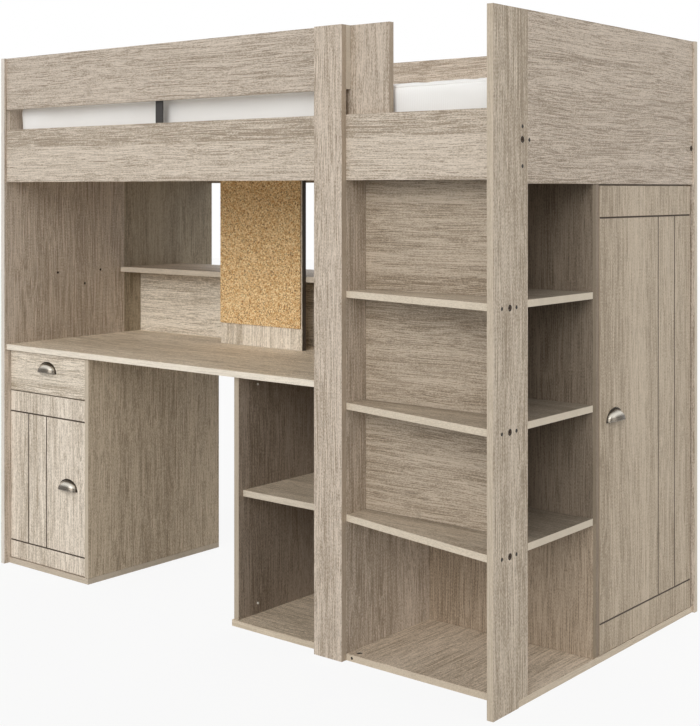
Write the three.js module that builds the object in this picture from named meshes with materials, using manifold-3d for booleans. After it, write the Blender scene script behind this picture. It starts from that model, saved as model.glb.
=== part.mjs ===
import * as THREE from 'three';
import { mergeVertices } from 'three/addons/utils/BufferGeometryUtils.js';
import Module from 'manifold-3d';

const wasm = await Module();
wasm.setup();

// Loft bed of wood-effect boards: a single bed on top, a desk with a drawer pedestal and an open
// bookcase below it, and at the right end a tower with step shelves, end shelves and a wardrobe.
// Millimetres. +Z is up, -Y is the long front, +X is the end with the wardrobe door.
// While it is put together, X is 0 at the right end's outer face, Y is 0 at its front edge.

// Driving dimensions of the whole bed
const LENGTH = 2050;
const DEPTH = 1085;
const HEIGHT = 1700;
const BOARD = 18;
const FRONT_BOARD = 16;
const SEAM = 0.5;
const REVEAL = 2;
const FIT = 0.3;
const OVERRUN = 2;

// Uprights
const POST_WIDTH = 98;
const POST_SETBACK = 86;
const REAR_POST_WIDTH = 96;
const REAR_POST_LIP = 6;
const RIGHT_FRONT_BOARD_WIDTH = 152.5;
const LEFT_END_SETBACK = 96;
const LEFT_FRONT_BOARD_WIDTH = 523.5;

// Rails and ends of the bed
const GUARD_RAIL_HEIGHT = 172;
const RAIL_SLOT = 68;
const LOWER_RAIL_HEIGHT = 176;
const HEADBOARD_HEIGHT = 426;
const BEARER_HEIGHT = 140;
const BEARER_DROP = 30;
const ENTRY_BOARD_WIDTH = 152;
const ENTRY_BOARD_LAP = 20;
const CONNECTOR_WIDTH = 31;
const CONNECTOR_THICKNESS = 4;
const CONNECTOR_LAP_ABOVE = 60;
const CONNECTOR_LAP_BELOW = 24;
const CONNECTOR_INSET = 720;

// Slats and mattress
const CLEAT_WIDTH = 20;
const CLEAT_HEIGHT = 30;
const CLEAT_RISE = 42;
const SLAT_THICKNESS = 18;
const SLAT_WIDTH = 76;
const SLAT_COUNT = 14;
const SLAT_MARGIN = 12;
const SLAT_END_PLAY = 1;
const WEBBING_WIDTH = 30;
const WEBBING_THICKNESS = 1.5;
const WEBBING_INSET = 160;
const MATTRESS_END_PLAY = 6.5;
const MATTRESS_SIDE_PLAY = 3.75;
const MATTRESS_HEIGHT = 176;
const MATTRESS_CORNER = 25;
const MATTRESS_EDGE = 12;
const MATTRESS_CROWN = 10;
const MATTRESS_DRAW = 5;
const MATTRESS_BOTTOM_SHARES = [0.5, 0.94];
const MATTRESS_CROWN_SHARES = [0.85, 0.6, 0.3];

// Tower with steps, end shelves and wardrobe
const STEP_CLEAR_WIDTH = 522;
const STEP_COUNT = 3;
const STEP_PITCH = 299;
const LOWEST_STEP_TOP = 390;
const STEP_NOSE_SETBACK = 6;
const STEP_BAY_DEPTH = 83.5;
const STEP_PANEL_SETBACK = 105;
const END_SHELF_DEPTH = 240;
const END_SHELF_WIDTH = 326.5;
const SIDE_BOARD = 16;
const EDGE_SETBACK = 4;
const BASE_SETBACK = 2;
const RIGHT_NOTCH_WIDTH = 41;
const REAR_BOARD_SETBACK = 20;
const HANGING_RAIL_RADIUS = 12.5;
const HANGING_RAIL_DROP = 70;
const RAIL_FLANGE_RADIUS = 24;
const RAIL_FLANGE_THICKNESS = 6;

// Desk, rear shelf and cork board
const DESK_HEIGHT = 738;
const DESK_DEPTH = 594;
const REAR_SHELF_RISE = 239;
const REAR_SHELF_DEPTH = 305;
const REAR_SHELF_LAP = 95.5;
const CORK_BOARD_WIDTH = 368;
const CORK_BOARD_INSET = 538;
const CORK_THICKNESS = 4;
const CORK_SIDE_MARGIN = 6;
const CORK_BOTTOM_MARGIN = 71;
const CORK_TOP_MARGIN = 20;

// Under-desk bookcase, pedestal and drawer
const UNDER_DESK_SETBACK = 12.5;
const BOOKCASE_WIDTH = 402;
const BOOKCASE_BASE_LIP = 2;
const BOOKCASE_SETBACK = 7;
const BOOKCASE_SHELF_SETBACK = 18;
const PEDESTAL_WIDTH = 411;
const PEDESTAL_BASE_LIP = 1;
const FACE_SETBACK = 5;
const DRAWER_FRONT_HEIGHT = 131;
const FRONTS_GAP = 4;
const DIVIDER_GAP = 4;
const DRAWER_LENGTH = 450;
const DRAWER_WALL = 12;
const DRAWER_BOTTOM = 4;
const DRAWER_BOTTOM_RISE = 6;
const DRAWER_BOX_DROP = 26;
const DRAWER_BOX_RISE = 15;
const RUNNER_WIDTH = 12;
const RUNNER_HEIGHT = 40;
const RUNNER_WALL = 1.5;

// Door grooves, pulls and concealed hinges
const WARDROBE_TOP_GAP = 5;
const GROOVE_DEPTH = 2.5;
const WARDROBE_GROOVE_MARGINS = [82, 85.5];
const WARDROBE_PLANK = 102.5;
const PEDESTAL_GROOVE_MARGINS = [59, 68];
const PEDESTAL_PLANK = 95;
const PLANK_GROOVES = 2;
const PULL_WIDTH = 86;
const PULL_HEIGHT = 34;
const PULL_REACH = 25;
const PULL_LIP_RISE = 5;
const PULL_WALL = 2;
const PULL_RIM = 4;
const PULL_RIM_THICKNESS = 1.5;
const WARDROBE_PULL_INSET = 80;
const WARDROBE_PULL_HEIGHT = 632.5;
const PEDESTAL_PULL_INSET = 87;
const PEDESTAL_PULL_HEIGHT = 284;
const DRAWER_PULL_RISE = 69.5;
const HINGE_MARGIN = 105;
const HINGE_CUP_RADIUS = 17.5;
const HINGE_CUP_DEPTH = 11;
const HINGE_CUP_WALL = 1.5;
const HINGE_CUP_INSET = 22.5;
const HINGE_EAR_LENGTH = 56;
const HINGE_EAR_WIDTH = 20;
const HINGE_EAR_THICKNESS = 1.2;
const HINGE_PLATE = 3;
const HINGE_PLATE_LENGTH = 34;
const HINGE_PLATE_HEIGHT = 50;
const HINGE_ARM_LENGTH = 64;
const HINGE_ARM_WIDTH = 13;
const HINGE_ARM_STAND = 14;

// Bolt, dowel, pilot and cam holes
const BOLT_HOLE_RADIUS = 8.5;
const DOWEL_HOLE_RADIUS = 5;
const PILOT_HOLE_RADIUS = 4.5;
const HOLE_DEPTH = 10;
const STEP_BOLT_SETBACK = 73;
const STEP_BOLT_DROP = 14;
const STEP_DOWEL_OFFSETS = [-35, 29];
const RAIL_BOLT_DROP = 49;
const RAIL_BOLT_INSET = 6;
const RAIL_DOWEL_OFFSETS = [32, -65];
const HEADBOARD_DOWEL_INSET = 7;
const PILOT_HOLE_SHARES = [[0.426, 0.57], [0.653, 0.544], [0.789, 0.571]];
const CAM_HOLE_RADIUS = 9;
const CAM_INSET = 24.5;
const CAM_SETBACK = 26;
const BASE_DOWEL_INSET = 19;
const BASE_DOWEL_RADIUS = 4;

const ROUND_STEPS = 20;
const DOME_STEPS = 12;

// Places from left to right
const xLeft = -LENGTH;
const xLeftInner = xLeft + BOARD;
const xRightInner = -BOARD;
const xWall = xRightInner - STEP_CLEAR_WIDTH;
const xWallLeft = xWall - BOARD;
const xTower = xWall + SEAM;
const railSpan = [xLeftInner + SEAM, xRightInner - SEAM];
const deskSpan = [xLeftInner + SEAM, xWallLeft - SEAM];

// Places from front to back: post, rails, inner layer of bearer and entry board, then the rear
const yPostBack = POST_SETBACK + BOARD;
const railLayer = [yPostBack + SEAM, yPostBack + SEAM + BOARD];
const innerLayer = [railLayer[1] + SEAM, railLayer[1] + SEAM + BOARD];
const yRearPost = DEPTH - BOARD;
const rearLayer = [yRearPost - SEAM - BOARD, yRearPost - SEAM];

// Heights of the bed
const zGuard = HEIGHT - GUARD_RAIL_HEIGHT;
const zLowerTop = zGuard - RAIL_SLOT;
const zLower = zLowerTop - LOWER_RAIL_HEIGHT;
const zHeadboard = HEIGHT - HEADBOARD_HEIGHT;
const zBearerTop = zLowerTop - BEARER_DROP;
const zBearer = zBearerTop - BEARER_HEIGHT;
const zCleat = zBearer + CLEAT_RISE;
const zSlat = zCleat + CLEAT_HEIGHT + SEAM;
const zSlatTop = zSlat + SLAT_THICKNESS;
const zMattress = zSlatTop + WEBBING_THICKNESS + SEAM;
const zWallTop = zLower - SEAM;
const zSideTop = zHeadboard - SEAM;
const zRailBolt = zBearerTop - RAIL_BOLT_DROP;

// Surface finishes
const oak = { color: 0xbdae98, roughness: 0.55, metalness: 0 };
const oakFront = { color: 0xc6b8a2, roughness: 0.55, metalness: 0 };
const granulatedCork = { color: 0xc09a5e, roughness: 0.9, metalness: 0 };
const brushedNickel = { color: 0x9b948a, roughness: 0.35, metalness: 1 };
const zincSteel = { color: 0xb9bbbd, roughness: 0.4, metalness: 1 };
const blackSteel = { color: 0x2f2c2a, roughness: 0.5, metalness: 0.6 };
const whiteTicking = { color: 0xeeeeec, roughness: 0.95, metalness: 0 };
const pine = { color: 0xd8bf95, roughness: 0.7, metalness: 0 };
const birchPly = { color: 0xd9cdb8, roughness: 0.6, metalness: 0 };

const bed = new THREE.Group();

function add(name, geometry, finish, parent = bed) {
  const mesh = new THREE.Mesh(geometry, new THREE.MeshStandardMaterial(finish));
  mesh.name = name;
  parent.add(mesh);
  return mesh;
}

// A plain board between two X, two Y and two Z values
function block(x, y, z) {
  const geometry = new THREE.BoxGeometry(x[1] - x[0], y[1] - y[0], z[1] - z[0]);
  return geometry.translate((x[0] + x[1]) / 2, (y[0] + y[1]) / 2, (z[0] + z[1]) / 2);
}

function board(name, x, y, z, finish = oak) {
  return add(name, block(x, y, z), finish);
}

// A flat board with the given outline, lying from height z upwards
function slab(points, z, thickness) {
  const shape = new THREE.Shape(points.map(([x, y]) => new THREE.Vector2(x, y)));
  const geometry = new THREE.ExtrudeGeometry(shape, { depth: thickness, bevelEnabled: false });
  return geometry.translate(0, 0, z);
}

// Round bar along an axis, from a point to where that axis has the value "to"
function bar(axis, radius, from, to, sides = ROUND_STEPS) {
  const middle = new THREE.Vector3(...from);
  const length = to - middle[axis];
  const geometry = new THREE.CylinderGeometry(radius, radius, Math.abs(length), sides);
  if (axis === 'x') geometry.rotateZ(Math.PI / 2);
  if (axis === 'z') geometry.rotateX(Math.PI / 2);
  middle[axis] += length / 2;
  return geometry.translate(middle.x, middle.y, middle.z);
}

// Closed mesh to solid and back again, for joins and cuts
function solid(geometry) {
  const bare = geometry.clone();
  bare.deleteAttribute('normal');
  bare.deleteAttribute('uv');
  const merged = mergeVertices(bare);
  const vertProperties = new Float32Array(merged.attributes.position.array);
  const triVerts = new Uint32Array(merged.index.array);
  return new wasm.Manifold(new wasm.Mesh({ numProp: 3, vertProperties, triVerts }));
}

function shaped(geometry, joined, cutters) {
  let body = solid(geometry);
  for (const piece of joined) body = body.add(solid(piece));
  for (const cutter of cutters) body = body.subtract(solid(cutter));
  const mesh = body.getMesh();
  const result = new THREE.BufferGeometry();
  result.setAttribute('position', new THREE.BufferAttribute(mesh.vertProperties, mesh.numProp));
  result.setIndex(new THREE.BufferAttribute(mesh.triVerts, 1));
  result.computeVertexNormals();
  return result;
}

function cut(geometry, cutters) {
  return shaped(geometry, [], cutters);
}

// Left end: two full-height boards side by side, the front one with pilot holes for a low shelf
const yLeftSeam = LEFT_END_SETBACK + LEFT_FRONT_BOARD_WIDTH;
const pilotHoles = PILOT_HOLE_SHARES.map(([across, up]) => {
  const y = LEFT_END_SETBACK + across * LEFT_FRONT_BOARD_WIDTH;
  return bar('x', PILOT_HOLE_RADIUS, [xLeftInner + OVERRUN, y, up * HEIGHT], xLeftInner - HOLE_DEPTH);
});
const leftFront = block([xLeft, xLeftInner], [LEFT_END_SETBACK, yLeftSeam], [0, HEIGHT]);
add('left_end_front_board', cut(leftFront, pilotHoles), oak);
board('left_end_rear_board', [xLeft, xLeftInner], [yLeftSeam + SEAM, rearLayer[1]], [0, HEIGHT]);

// Posts outside the rails, from the floor to the top
board('front_post', [xWall - POST_WIDTH, xWall], [POST_SETBACK, yPostBack], [0, HEIGHT], oakFront);
board('rear_post', [REAR_POST_LIP - REAR_POST_WIDTH, REAR_POST_LIP], [yRearPost, DEPTH], [0, HEIGHT]);

// Right end: a narrow full-height board that holds the steps, and the headboard behind it
const stepTops = [];
for (let step = 0; step < STEP_COUNT; step++) stepTops.push(LOWEST_STEP_TOP + step * STEP_PITCH);

function endHole(radius, y, z) {
  return bar('x', radius, [OVERRUN, y, z], -HOLE_DEPTH);
}

const yRailBolt = innerLayer[0] + RAIL_BOLT_INSET;
const rightHoles = [endHole(BOLT_HOLE_RADIUS, yRailBolt, zRailBolt)];
for (const offset of RAIL_DOWEL_OFFSETS) {
  rightHoles.push(endHole(DOWEL_HOLE_RADIUS, yRailBolt, zRailBolt + offset));
}
for (const top of stepTops) {
  rightHoles.push(endHole(BOLT_HOLE_RADIUS, STEP_BOLT_SETBACK, top - STEP_BOLT_DROP));
  for (const offset of STEP_DOWEL_OFFSETS) {
    rightHoles.push(endHole(DOWEL_HOLE_RADIUS, STEP_BOLT_SETBACK + offset, top - STEP_BOLT_DROP));
  }
}
const yNotch = RIGHT_FRONT_BOARD_WIDTH - RIGHT_NOTCH_WIDTH;
const rightNotch = block(
  [xRightInner - OVERRUN, OVERRUN],
  [yNotch, RIGHT_FRONT_BOARD_WIDTH + OVERRUN],
  [-OVERRUN, BOARD + SEAM],
);
const rightFront = block([xRightInner, 0], [0, RIGHT_FRONT_BOARD_WIDTH], [0, HEIGHT]);
add('right_end_front_board', cut(rightFront, [rightNotch, ...rightHoles]), oakFront);

const yHeadboard = RIGHT_FRONT_BOARD_WIDTH + SEAM;
const headboard = block([xRightInner, 0], [yHeadboard, rearLayer[1]], [zHeadboard, HEIGHT]);
const headboardHoles = [
  endHole(DOWEL_HOLE_RADIUS, yHeadboard + HEADBOARD_DOWEL_INSET, zRailBolt),
  endHole(BOLT_HOLE_RADIUS, (rearLayer[0] + rearLayer[1]) / 2, zRailBolt),
];
add('headboard', cut(headboard, headboardHoles), oak);

// Rails. The guard rail ends on the front post, and the gap beside it is the way in.
board('front_guard_rail', [railSpan[0], xWall], railLayer, [zGuard, HEIGHT], oakFront);
board('front_lower_rail', railSpan, railLayer, [zLower, zLowerTop], oakFront);
board('rear_guard_rail', railSpan, rearLayer, [zGuard, HEIGHT]);
board('rear_lower_rail', railSpan, rearLayer, [zLower, zLowerTop]);
board('front_bearer_rail', railSpan, innerLayer, [zBearer, zBearerTop]);
const xEntry = xWall - ENTRY_BOARD_LAP;
board('entry_board', [xEntry, xEntry + ENTRY_BOARD_WIDTH], innerLayer, [zBearerTop + SEAM, HEIGHT]);
const xConnector = xLeftInner + CONNECTOR_INSET;
board(
  'guard_connector_bar',
  [xConnector, xConnector + CONNECTOR_WIDTH],
  [innerLayer[0], innerLayer[0] + CONNECTOR_THICKNESS],
  [zLowerTop - CONNECTOR_LAP_BELOW, zGuard + CONNECTOR_LAP_ABOVE],
  blackSteel,
);

// Slats, tied into one roll by two webbing strips, lie on cleats along the front and the rear
const cleatHeights = [zCleat, zCleat + CLEAT_HEIGHT];
const yCleatFront = innerLayer[1] + SEAM;
const yCleatRear = rearLayer[0] - SEAM;
board('front_slat_cleat', railSpan, [yCleatFront, yCleatFront + CLEAT_WIDTH], cleatHeights, pine);
board('rear_slat_cleat', railSpan, [yCleatRear - CLEAT_WIDTH, yCleatRear], cleatHeights, pine);

const slatSpan = [yCleatFront + SLAT_END_PLAY, yCleatRear - SLAT_END_PLAY];
const slatRun = [railSpan[0] + SLAT_MARGIN, railSpan[1] - SLAT_MARGIN];
const slatPitch = (slatRun[1] - slatRun[0] - SLAT_WIDTH) / (SLAT_COUNT - 1);
const slats = [];
for (let slat = 0; slat < SLAT_COUNT; slat++) {
  const x = slatRun[0] + slat * slatPitch;
  slats.push(block([x, x + SLAT_WIDTH], slatSpan, [zSlat, zSlatTop]));
}
const webbingHeights = [zSlatTop - WEBBING_THICKNESS, zSlatTop + WEBBING_THICKNESS];
const webbing = [slatSpan[0] + WEBBING_INSET, slatSpan[1] - WEBBING_INSET - WEBBING_WIDTH].map((y) => {
  return block(slatRun, [y, y + WEBBING_WIDTH], webbingHeights);
});
add('slat_roll', shaped(webbing[0], [...slats, webbing[1]], []), pine);

// Mattress, as long and wide as the rails and ends leave it room: rings of one outline, from the
// flat bottom up round the drawn-in side to the crown. The outline has round corners, and its sides
// bow inwards between them.
const mattressLength = railSpan[1] - railSpan[0] - 2 * MATTRESS_END_PLAY;
const mattressWidth = rearLayer[0] - innerLayer[1] - 2 * MATTRESS_SIDE_PLAY;

function mattressOutline() {
  const cornerSteps = 5;
  const sideSteps = 8;
  const straightX = mattressLength / 2 - MATTRESS_CORNER;
  const straightY = mattressWidth / 2 - MATTRESS_CORNER;
  const corners = [
    [straightX, straightY],
    [-straightX, straightY],
    [-straightX, -straightY],
    [straightX, -straightY],
  ];
  const points = [];
  corners.forEach(([x, y], corner) => {
    const quarter = Math.PI / 2;
    for (let step = 0; step <= cornerSteps; step++) {
      const angle = (corner + step / cornerSteps) * quarter;
      points.push([x + MATTRESS_CORNER * Math.cos(angle), y + MATTRESS_CORNER * Math.sin(angle)]);
    }
    const outward = [Math.cos((corner + 1) * quarter), Math.sin((corner + 1) * quarter)];
    const [nextX, nextY] = corners[(corner + 1) % corners.length];
    for (let step = 1; step < sideSteps; step++) {
      const share = step / sideSteps;
      const out = MATTRESS_CORNER - MATTRESS_DRAW * Math.sin(Math.PI * share);
      points.push([x + (nextX - x) * share + outward[0] * out, y + (nextY - y) * share + outward[1] * out]);
    }
  });
  return points;
}

// Each ring is the outline drawn in by a distance, or scaled by a share, at a height
function mattressRings() {
  const edgeSteps = 3;
  const drawnIn = (inset, z) => [1 - (2 * inset) / mattressLength, 1 - (2 * inset) / mattressWidth, z];
  const top = MATTRESS_HEIGHT - MATTRESS_CROWN;
  const rings = [];
  for (const share of MATTRESS_BOTTOM_SHARES) rings.push([share, share, 0]);
  for (let step = 0; step <= edgeSteps; step++) {
    const angle = (step / edgeSteps) * (Math.PI / 2);
    rings.push(drawnIn(MATTRESS_EDGE * (1 - Math.sin(angle)), MATTRESS_EDGE * (1 - Math.cos(angle))));
  }
  rings.push(drawnIn(MATTRESS_DRAW, MATTRESS_HEIGHT / 2));
  for (let step = 0; step <= edgeSteps; step++) {
    const angle = (step / edgeSteps) * (Math.PI / 2);
    rings.push(drawnIn(MATTRESS_EDGE * (1 - Math.cos(angle)), top - MATTRESS_EDGE * (1 - Math.sin(angle))));
  }
  for (const share of MATTRESS_CROWN_SHARES) {
    rings.push([share, share, top + MATTRESS_CROWN * (1 - share * share)]);
  }
  return rings;
}

function mattressForm() {
  const outline = mattressOutline();
  const rings = mattressRings();
  const count = outline.length;
  const positions = [];
  for (const [scaleX, scaleY, z] of rings) {
    for (const [x, y] of outline) positions.push(x * scaleX, y * scaleY, z);
  }
  const bottomCentre = rings.length * count;
  const topCentre = bottomCentre + 1;
  positions.push(0, 0, 0, 0, 0, MATTRESS_HEIGHT);
  const faces = [];
  const last = bottomCentre - count;
  for (let i = 0; i < count; i++) {
    const next = (i + 1) % count;
    faces.push(bottomCentre, next, i, last + i, last + next, topCentre);
    for (let low = 0; low < last; low += count) {
      const high = low + count;
      faces.push(low + i, low + next, high + i, low + next, high + next, high + i);
    }
  }
  const geometry = new THREE.BufferGeometry();
  geometry.setAttribute('position', new THREE.Float32BufferAttribute(positions, 3));
  geometry.setIndex(faces);
  geometry.computeVertexNormals();
  return geometry;
}

const mattress = add('mattress', mattressForm(), whiteTicking);
mattress.position.set(
  (railSpan[0] + railSpan[1]) / 2,
  (innerLayer[1] + rearLayer[0]) / 2,
  zMattress,
);

// Tower: base, full-height left wall in two boards, and two thinner boards back to back between
// the end shelves and the wardrobe
const yStepFront = railLayer[0] + SEAM;
const yBookcaseSide = RIGHT_FRONT_BOARD_WIDTH + END_SHELF_WIDTH;
const yWardrobeSide = yBookcaseSide + SIDE_BOARD + SEAM;
const yWardrobe = yWardrobeSide + SIDE_BOARD;
const xEdge = -EDGE_SETBACK;
const wallThickness = [xWallLeft, xWall];
const towerBase = slab([
  [xTower, yStepFront],
  [xRightInner - SEAM, yStepFront],
  [xRightInner - SEAM, yNotch + SEAM],
  [-BASE_SETBACK, yNotch + SEAM],
  [-BASE_SETBACK, rearLayer[1]],
  [xTower, rearLayer[1]],
], 0, BOARD);
const xCam = xWall + CAM_INSET;
const xDowel = xWall + BASE_DOWEL_INSET;
const baseHoles = [
  bar('z', CAM_HOLE_RADIUS, [xCam, yStepFront + CAM_SETBACK, BOARD + OVERRUN], BOARD - HOLE_DEPTH),
  bar('y', BASE_DOWEL_RADIUS, [xDowel, yStepFront - OVERRUN, BOARD / 2], yStepFront + HOLE_DEPTH),
];
add('tower_base_board', cut(towerBase, baseHoles), oak);
board('ladder_left_wall', wallThickness, [railLayer[0], yWardrobeSide - SEAM], [0, zWallTop]);
board('wardrobe_left_side', wallThickness, [yWardrobeSide, rearLayer[1]], [0, zWallTop]);
const sideHeights = [BOARD + SEAM, zSideTop];
board('bookcase_side_board', [xTower, xEdge], [yBookcaseSide, yWardrobeSide - SEAM], sideHeights);
board('wardrobe_side_board', [xTower, xEdge], [yWardrobeSide, yWardrobe], sideHeights);
board('wardrobe_rear_board', [xTower, -REAR_BOARD_SETBACK], rearLayer, [BOARD + SEAM, zWallTop]);
board(
  'wardrobe_top_board',
  [xTower, -REAR_BOARD_SETBACK],
  [yWardrobe + SEAM, rearLayer[0] - SEAM],
  [zSideTop - BOARD, zSideTop],
);

// Steps. Each is one board that serves the front as a step and the right end as a shelf. A panel
// behind the steps and a wall behind the end shelves close the middle of the tower, and the two
// upper steps go round the end of that panel.
const yStepBack = railLayer[0] + STEP_BAY_DEPTH;
const yPanelBack = yStepBack + BOARD;
const frontEdge = [
  [xTower, yStepFront],
  [xRightInner - SEAM, STEP_NOSE_SETBACK],
  [xRightInner - SEAM, yHeadboard],
  [xEdge, yHeadboard],
  [xEdge, yBookcaseSide - SEAM],
];
const roundPanel = [
  [-END_SHELF_DEPTH + SEAM, yBookcaseSide - SEAM],
  [-END_SHELF_DEPTH + SEAM, yPanelBack + SEAM],
  [-STEP_PANEL_SETBACK + SEAM, yPanelBack + SEAM],
  [-STEP_PANEL_SETBACK + SEAM, yStepBack - SEAM],
  [xTower, yStepBack - SEAM],
];
const stepNames = ['step_shelf_lower', 'step_shelf_middle', 'step_shelf_upper'];
stepTops.forEach((top, step) => {
  const rear = step === 0 ? [[xTower, yBookcaseSide - SEAM]] : roundPanel;
  add(stepNames[step], slab([...frontEdge, ...rear], top - BOARD, BOARD), oak);
});
const closedHeights = [LOWEST_STEP_TOP + SEAM, zWallTop];
board('ladder_back_panel', [xTower, -STEP_PANEL_SETBACK], [yStepBack, yPanelBack], closedHeights);
board(
  'end_back_wall',
  [-END_SHELF_DEPTH - BOARD, -END_SHELF_DEPTH],
  [yPanelBack + SEAM, yBookcaseSide - SEAM],
  closedHeights,
);

// Clothes rail with a round flange on each end, across the wardrobe
const railLength = rearLayer[0] - yWardrobe - 2 * SEAM;
const railProfile = [
  [0, 0],
  [RAIL_FLANGE_RADIUS, 0],
  [RAIL_FLANGE_RADIUS, RAIL_FLANGE_THICKNESS],
  [HANGING_RAIL_RADIUS, RAIL_FLANGE_THICKNESS],
  [HANGING_RAIL_RADIUS, railLength - RAIL_FLANGE_THICKNESS],
  [RAIL_FLANGE_RADIUS, railLength - RAIL_FLANGE_THICKNESS],
  [RAIL_FLANGE_RADIUS, railLength],
  [0, railLength],
].map(([radius, along]) => new THREE.Vector2(radius, along));
const hangingRail = add('hanging_rail', new THREE.LatheGeometry(railProfile, ROUND_STEPS), zincSteel);
hangingRail.position.set(
  (xTower - REAR_BOARD_SETBACK) / 2,
  yWardrobe + SEAM,
  zSideTop - BOARD - HANGING_RAIL_DROP,
);

// Desk between the left end and the tower, with a raised shelf behind it
const zDesk = DESK_HEIGHT - BOARD;
const yDeskBack = railLayer[0] + DESK_DEPTH;
const zRearShelf = DESK_HEIGHT + REAR_SHELF_RISE - BOARD;
const yRearShelf = yDeskBack - REAR_SHELF_LAP;
board('desk_top', deskSpan, [railLayer[0], yDeskBack], [zDesk, DESK_HEIGHT], oakFront);
board('desk_back_panel', deskSpan, [yDeskBack + SEAM, yDeskBack + SEAM + BOARD], [zDesk, zRearShelf - SEAM]);
board('rear_shelf', deskSpan, [yRearShelf, yRearShelf + REAR_SHELF_DEPTH], [zRearShelf, zRearShelf + BOARD]);

// Upright board from the desk to the slats, with a sheet of cork on its front
const xCorkBoard = xLeftInner + CORK_BOARD_INSET;
const yCorkBoard = yRearShelf - SEAM - BOARD;
const corkBoardHeights = [DESK_HEIGHT + SEAM, zSlat - SEAM];
board(
  'cork_backing_board',
  [xCorkBoard, xCorkBoard + CORK_BOARD_WIDTH],
  [yCorkBoard, yCorkBoard + BOARD],
  corkBoardHeights,
);
board(
  'cork_sheet',
  [xCorkBoard, xCorkBoard + CORK_BOARD_WIDTH - CORK_SIDE_MARGIN],
  [yCorkBoard - SEAM - CORK_THICKNESS, yCorkBoard - SEAM],
  [DESK_HEIGHT + CORK_BOTTOM_MARGIN, corkBoardHeights[1] - CORK_TOP_MARGIN],
  granulatedCork,
);

// Open bookcase under the desk's right end, closed on the right by the tower's wall
const yUnder = railLayer[0] + UNDER_DESK_SETBACK;
const yUnderBack = yDeskBack - BOARD;
const underHeights = [BOARD + SEAM, zDesk - SEAM];
const xBookcase = xWallLeft - BOOKCASE_WIDTH;
const bookcaseSpan = [xBookcase + SEAM, deskSpan[1]];
board('bookcase_base', [xBookcase - BOARD - BOOKCASE_BASE_LIP, deskSpan[1]], [yUnder, yDeskBack], [0, BOARD]);
const ySide = yUnder + BOOKCASE_SETBACK;
board('bookcase_left_side', [xBookcase - BOARD, xBookcase], [ySide, yDeskBack], underHeights);
board('bookcase_back_panel', bookcaseSpan, [yUnderBack, yDeskBack], underHeights);
board(
  'bookcase_shelf',
  bookcaseSpan,
  [ySide + BOOKCASE_SHELF_SETBACK, yUnderBack - SEAM],
  [LOWEST_STEP_TOP - BOARD, LOWEST_STEP_TOP],
);

// Pedestal under the desk's left end. The bed's left end is its left side.
const xPedestalRight = xLeftInner + PEDESTAL_WIDTH;
const xPedestalInner = xPedestalRight - BOARD;
const pedestalSpan = [deskSpan[0], xPedestalInner - SEAM];
const yFace = yUnder + FACE_SETBACK;
const yFaceBack = yFace + FRONT_BOARD;
const zDrawerTop = zDesk - FRONTS_GAP;
const zDrawerFront = zDrawerTop - DRAWER_FRONT_HEIGHT;
const zDivider = zDrawerFront - FRONTS_GAP / 2 - BOARD;
board('pedestal_base', [deskSpan[0], xPedestalRight], [yUnder - PEDESTAL_BASE_LIP, yDeskBack], [0, BOARD]);
board('pedestal_right_side', [xPedestalInner, xPedestalRight], [yUnder, yDeskBack], underHeights);
board('pedestal_back_panel', pedestalSpan, [yUnderBack, yDeskBack], underHeights);
board(
  'pedestal_divider',
  pedestalSpan,
  [yFaceBack + DIVIDER_GAP, yUnderBack - SEAM],
  [zDivider, zDivider + BOARD],
);

// Cup pull: a hollow half dome, open downwards, on a thin half-oval rim. It stands out to -Y, and
// its lip is higher at the front than at the door.
function cupPull() {
  const dome = (grow) => {
    const geometry = new THREE.SphereGeometry(1, 2 * DOME_STEPS, DOME_STEPS);
    return geometry.scale(PULL_WIDTH / 2 + grow, PULL_REACH + grow, PULL_HEIGHT + grow);
  };
  const oval = new THREE.Shape();
  oval.absellipse(0, 0, PULL_WIDTH / 2 + PULL_RIM, PULL_HEIGHT + PULL_RIM, 0, Math.PI);
  oval.closePath();
  const rim = new THREE.ExtrudeGeometry(oval, {
    depth: PULL_RIM_THICKNESS,
    bevelEnabled: false,
    curveSegments: DOME_STEPS,
  });
  rim.rotateX(Math.PI / 2);
  const wide = [-PULL_WIDTH, PULL_WIDTH];
  const below = block(wide, [-2 * PULL_REACH, 2 * PULL_REACH], [-2 * PULL_HEIGHT, 0]);
  below.rotateX(-Math.atan(PULL_LIP_RISE / PULL_REACH));
  const behind = block(wide, [0, 2 * PULL_REACH], [-2 * PULL_HEIGHT, 2 * PULL_HEIGHT]);
  return shaped(dome(0), [rim], [dome(-PULL_WALL), below, behind]);
}

// Door or drawer front: outer face at Y 0, left edge at X 0, bottom at Z 0, grooved as if planked
function plankedDoor(width, height, margins, plankEdges, cupX, cupHeights) {
  const cutters = [margins[0], height - margins[1]].map((z) => {
    return bar('x', GROOVE_DEPTH, [-OVERRUN, 0, z], width + OVERRUN, 4);
  });
  for (const x of plankEdges) {
    cutters.push(bar('z', GROOVE_DEPTH, [x, 0, margins[0]], height - margins[1], 4));
  }
  for (const z of cupHeights) {
    const pocket = FRONT_BOARD - HINGE_CUP_DEPTH - FIT;
    cutters.push(bar('y', HINGE_CUP_RADIUS + FIT, [cupX, FRONT_BOARD + OVERRUN, z], pocket));
  }
  return cut(block([0, width], [0, FRONT_BOARD], [0, height]), cutters);
}

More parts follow.
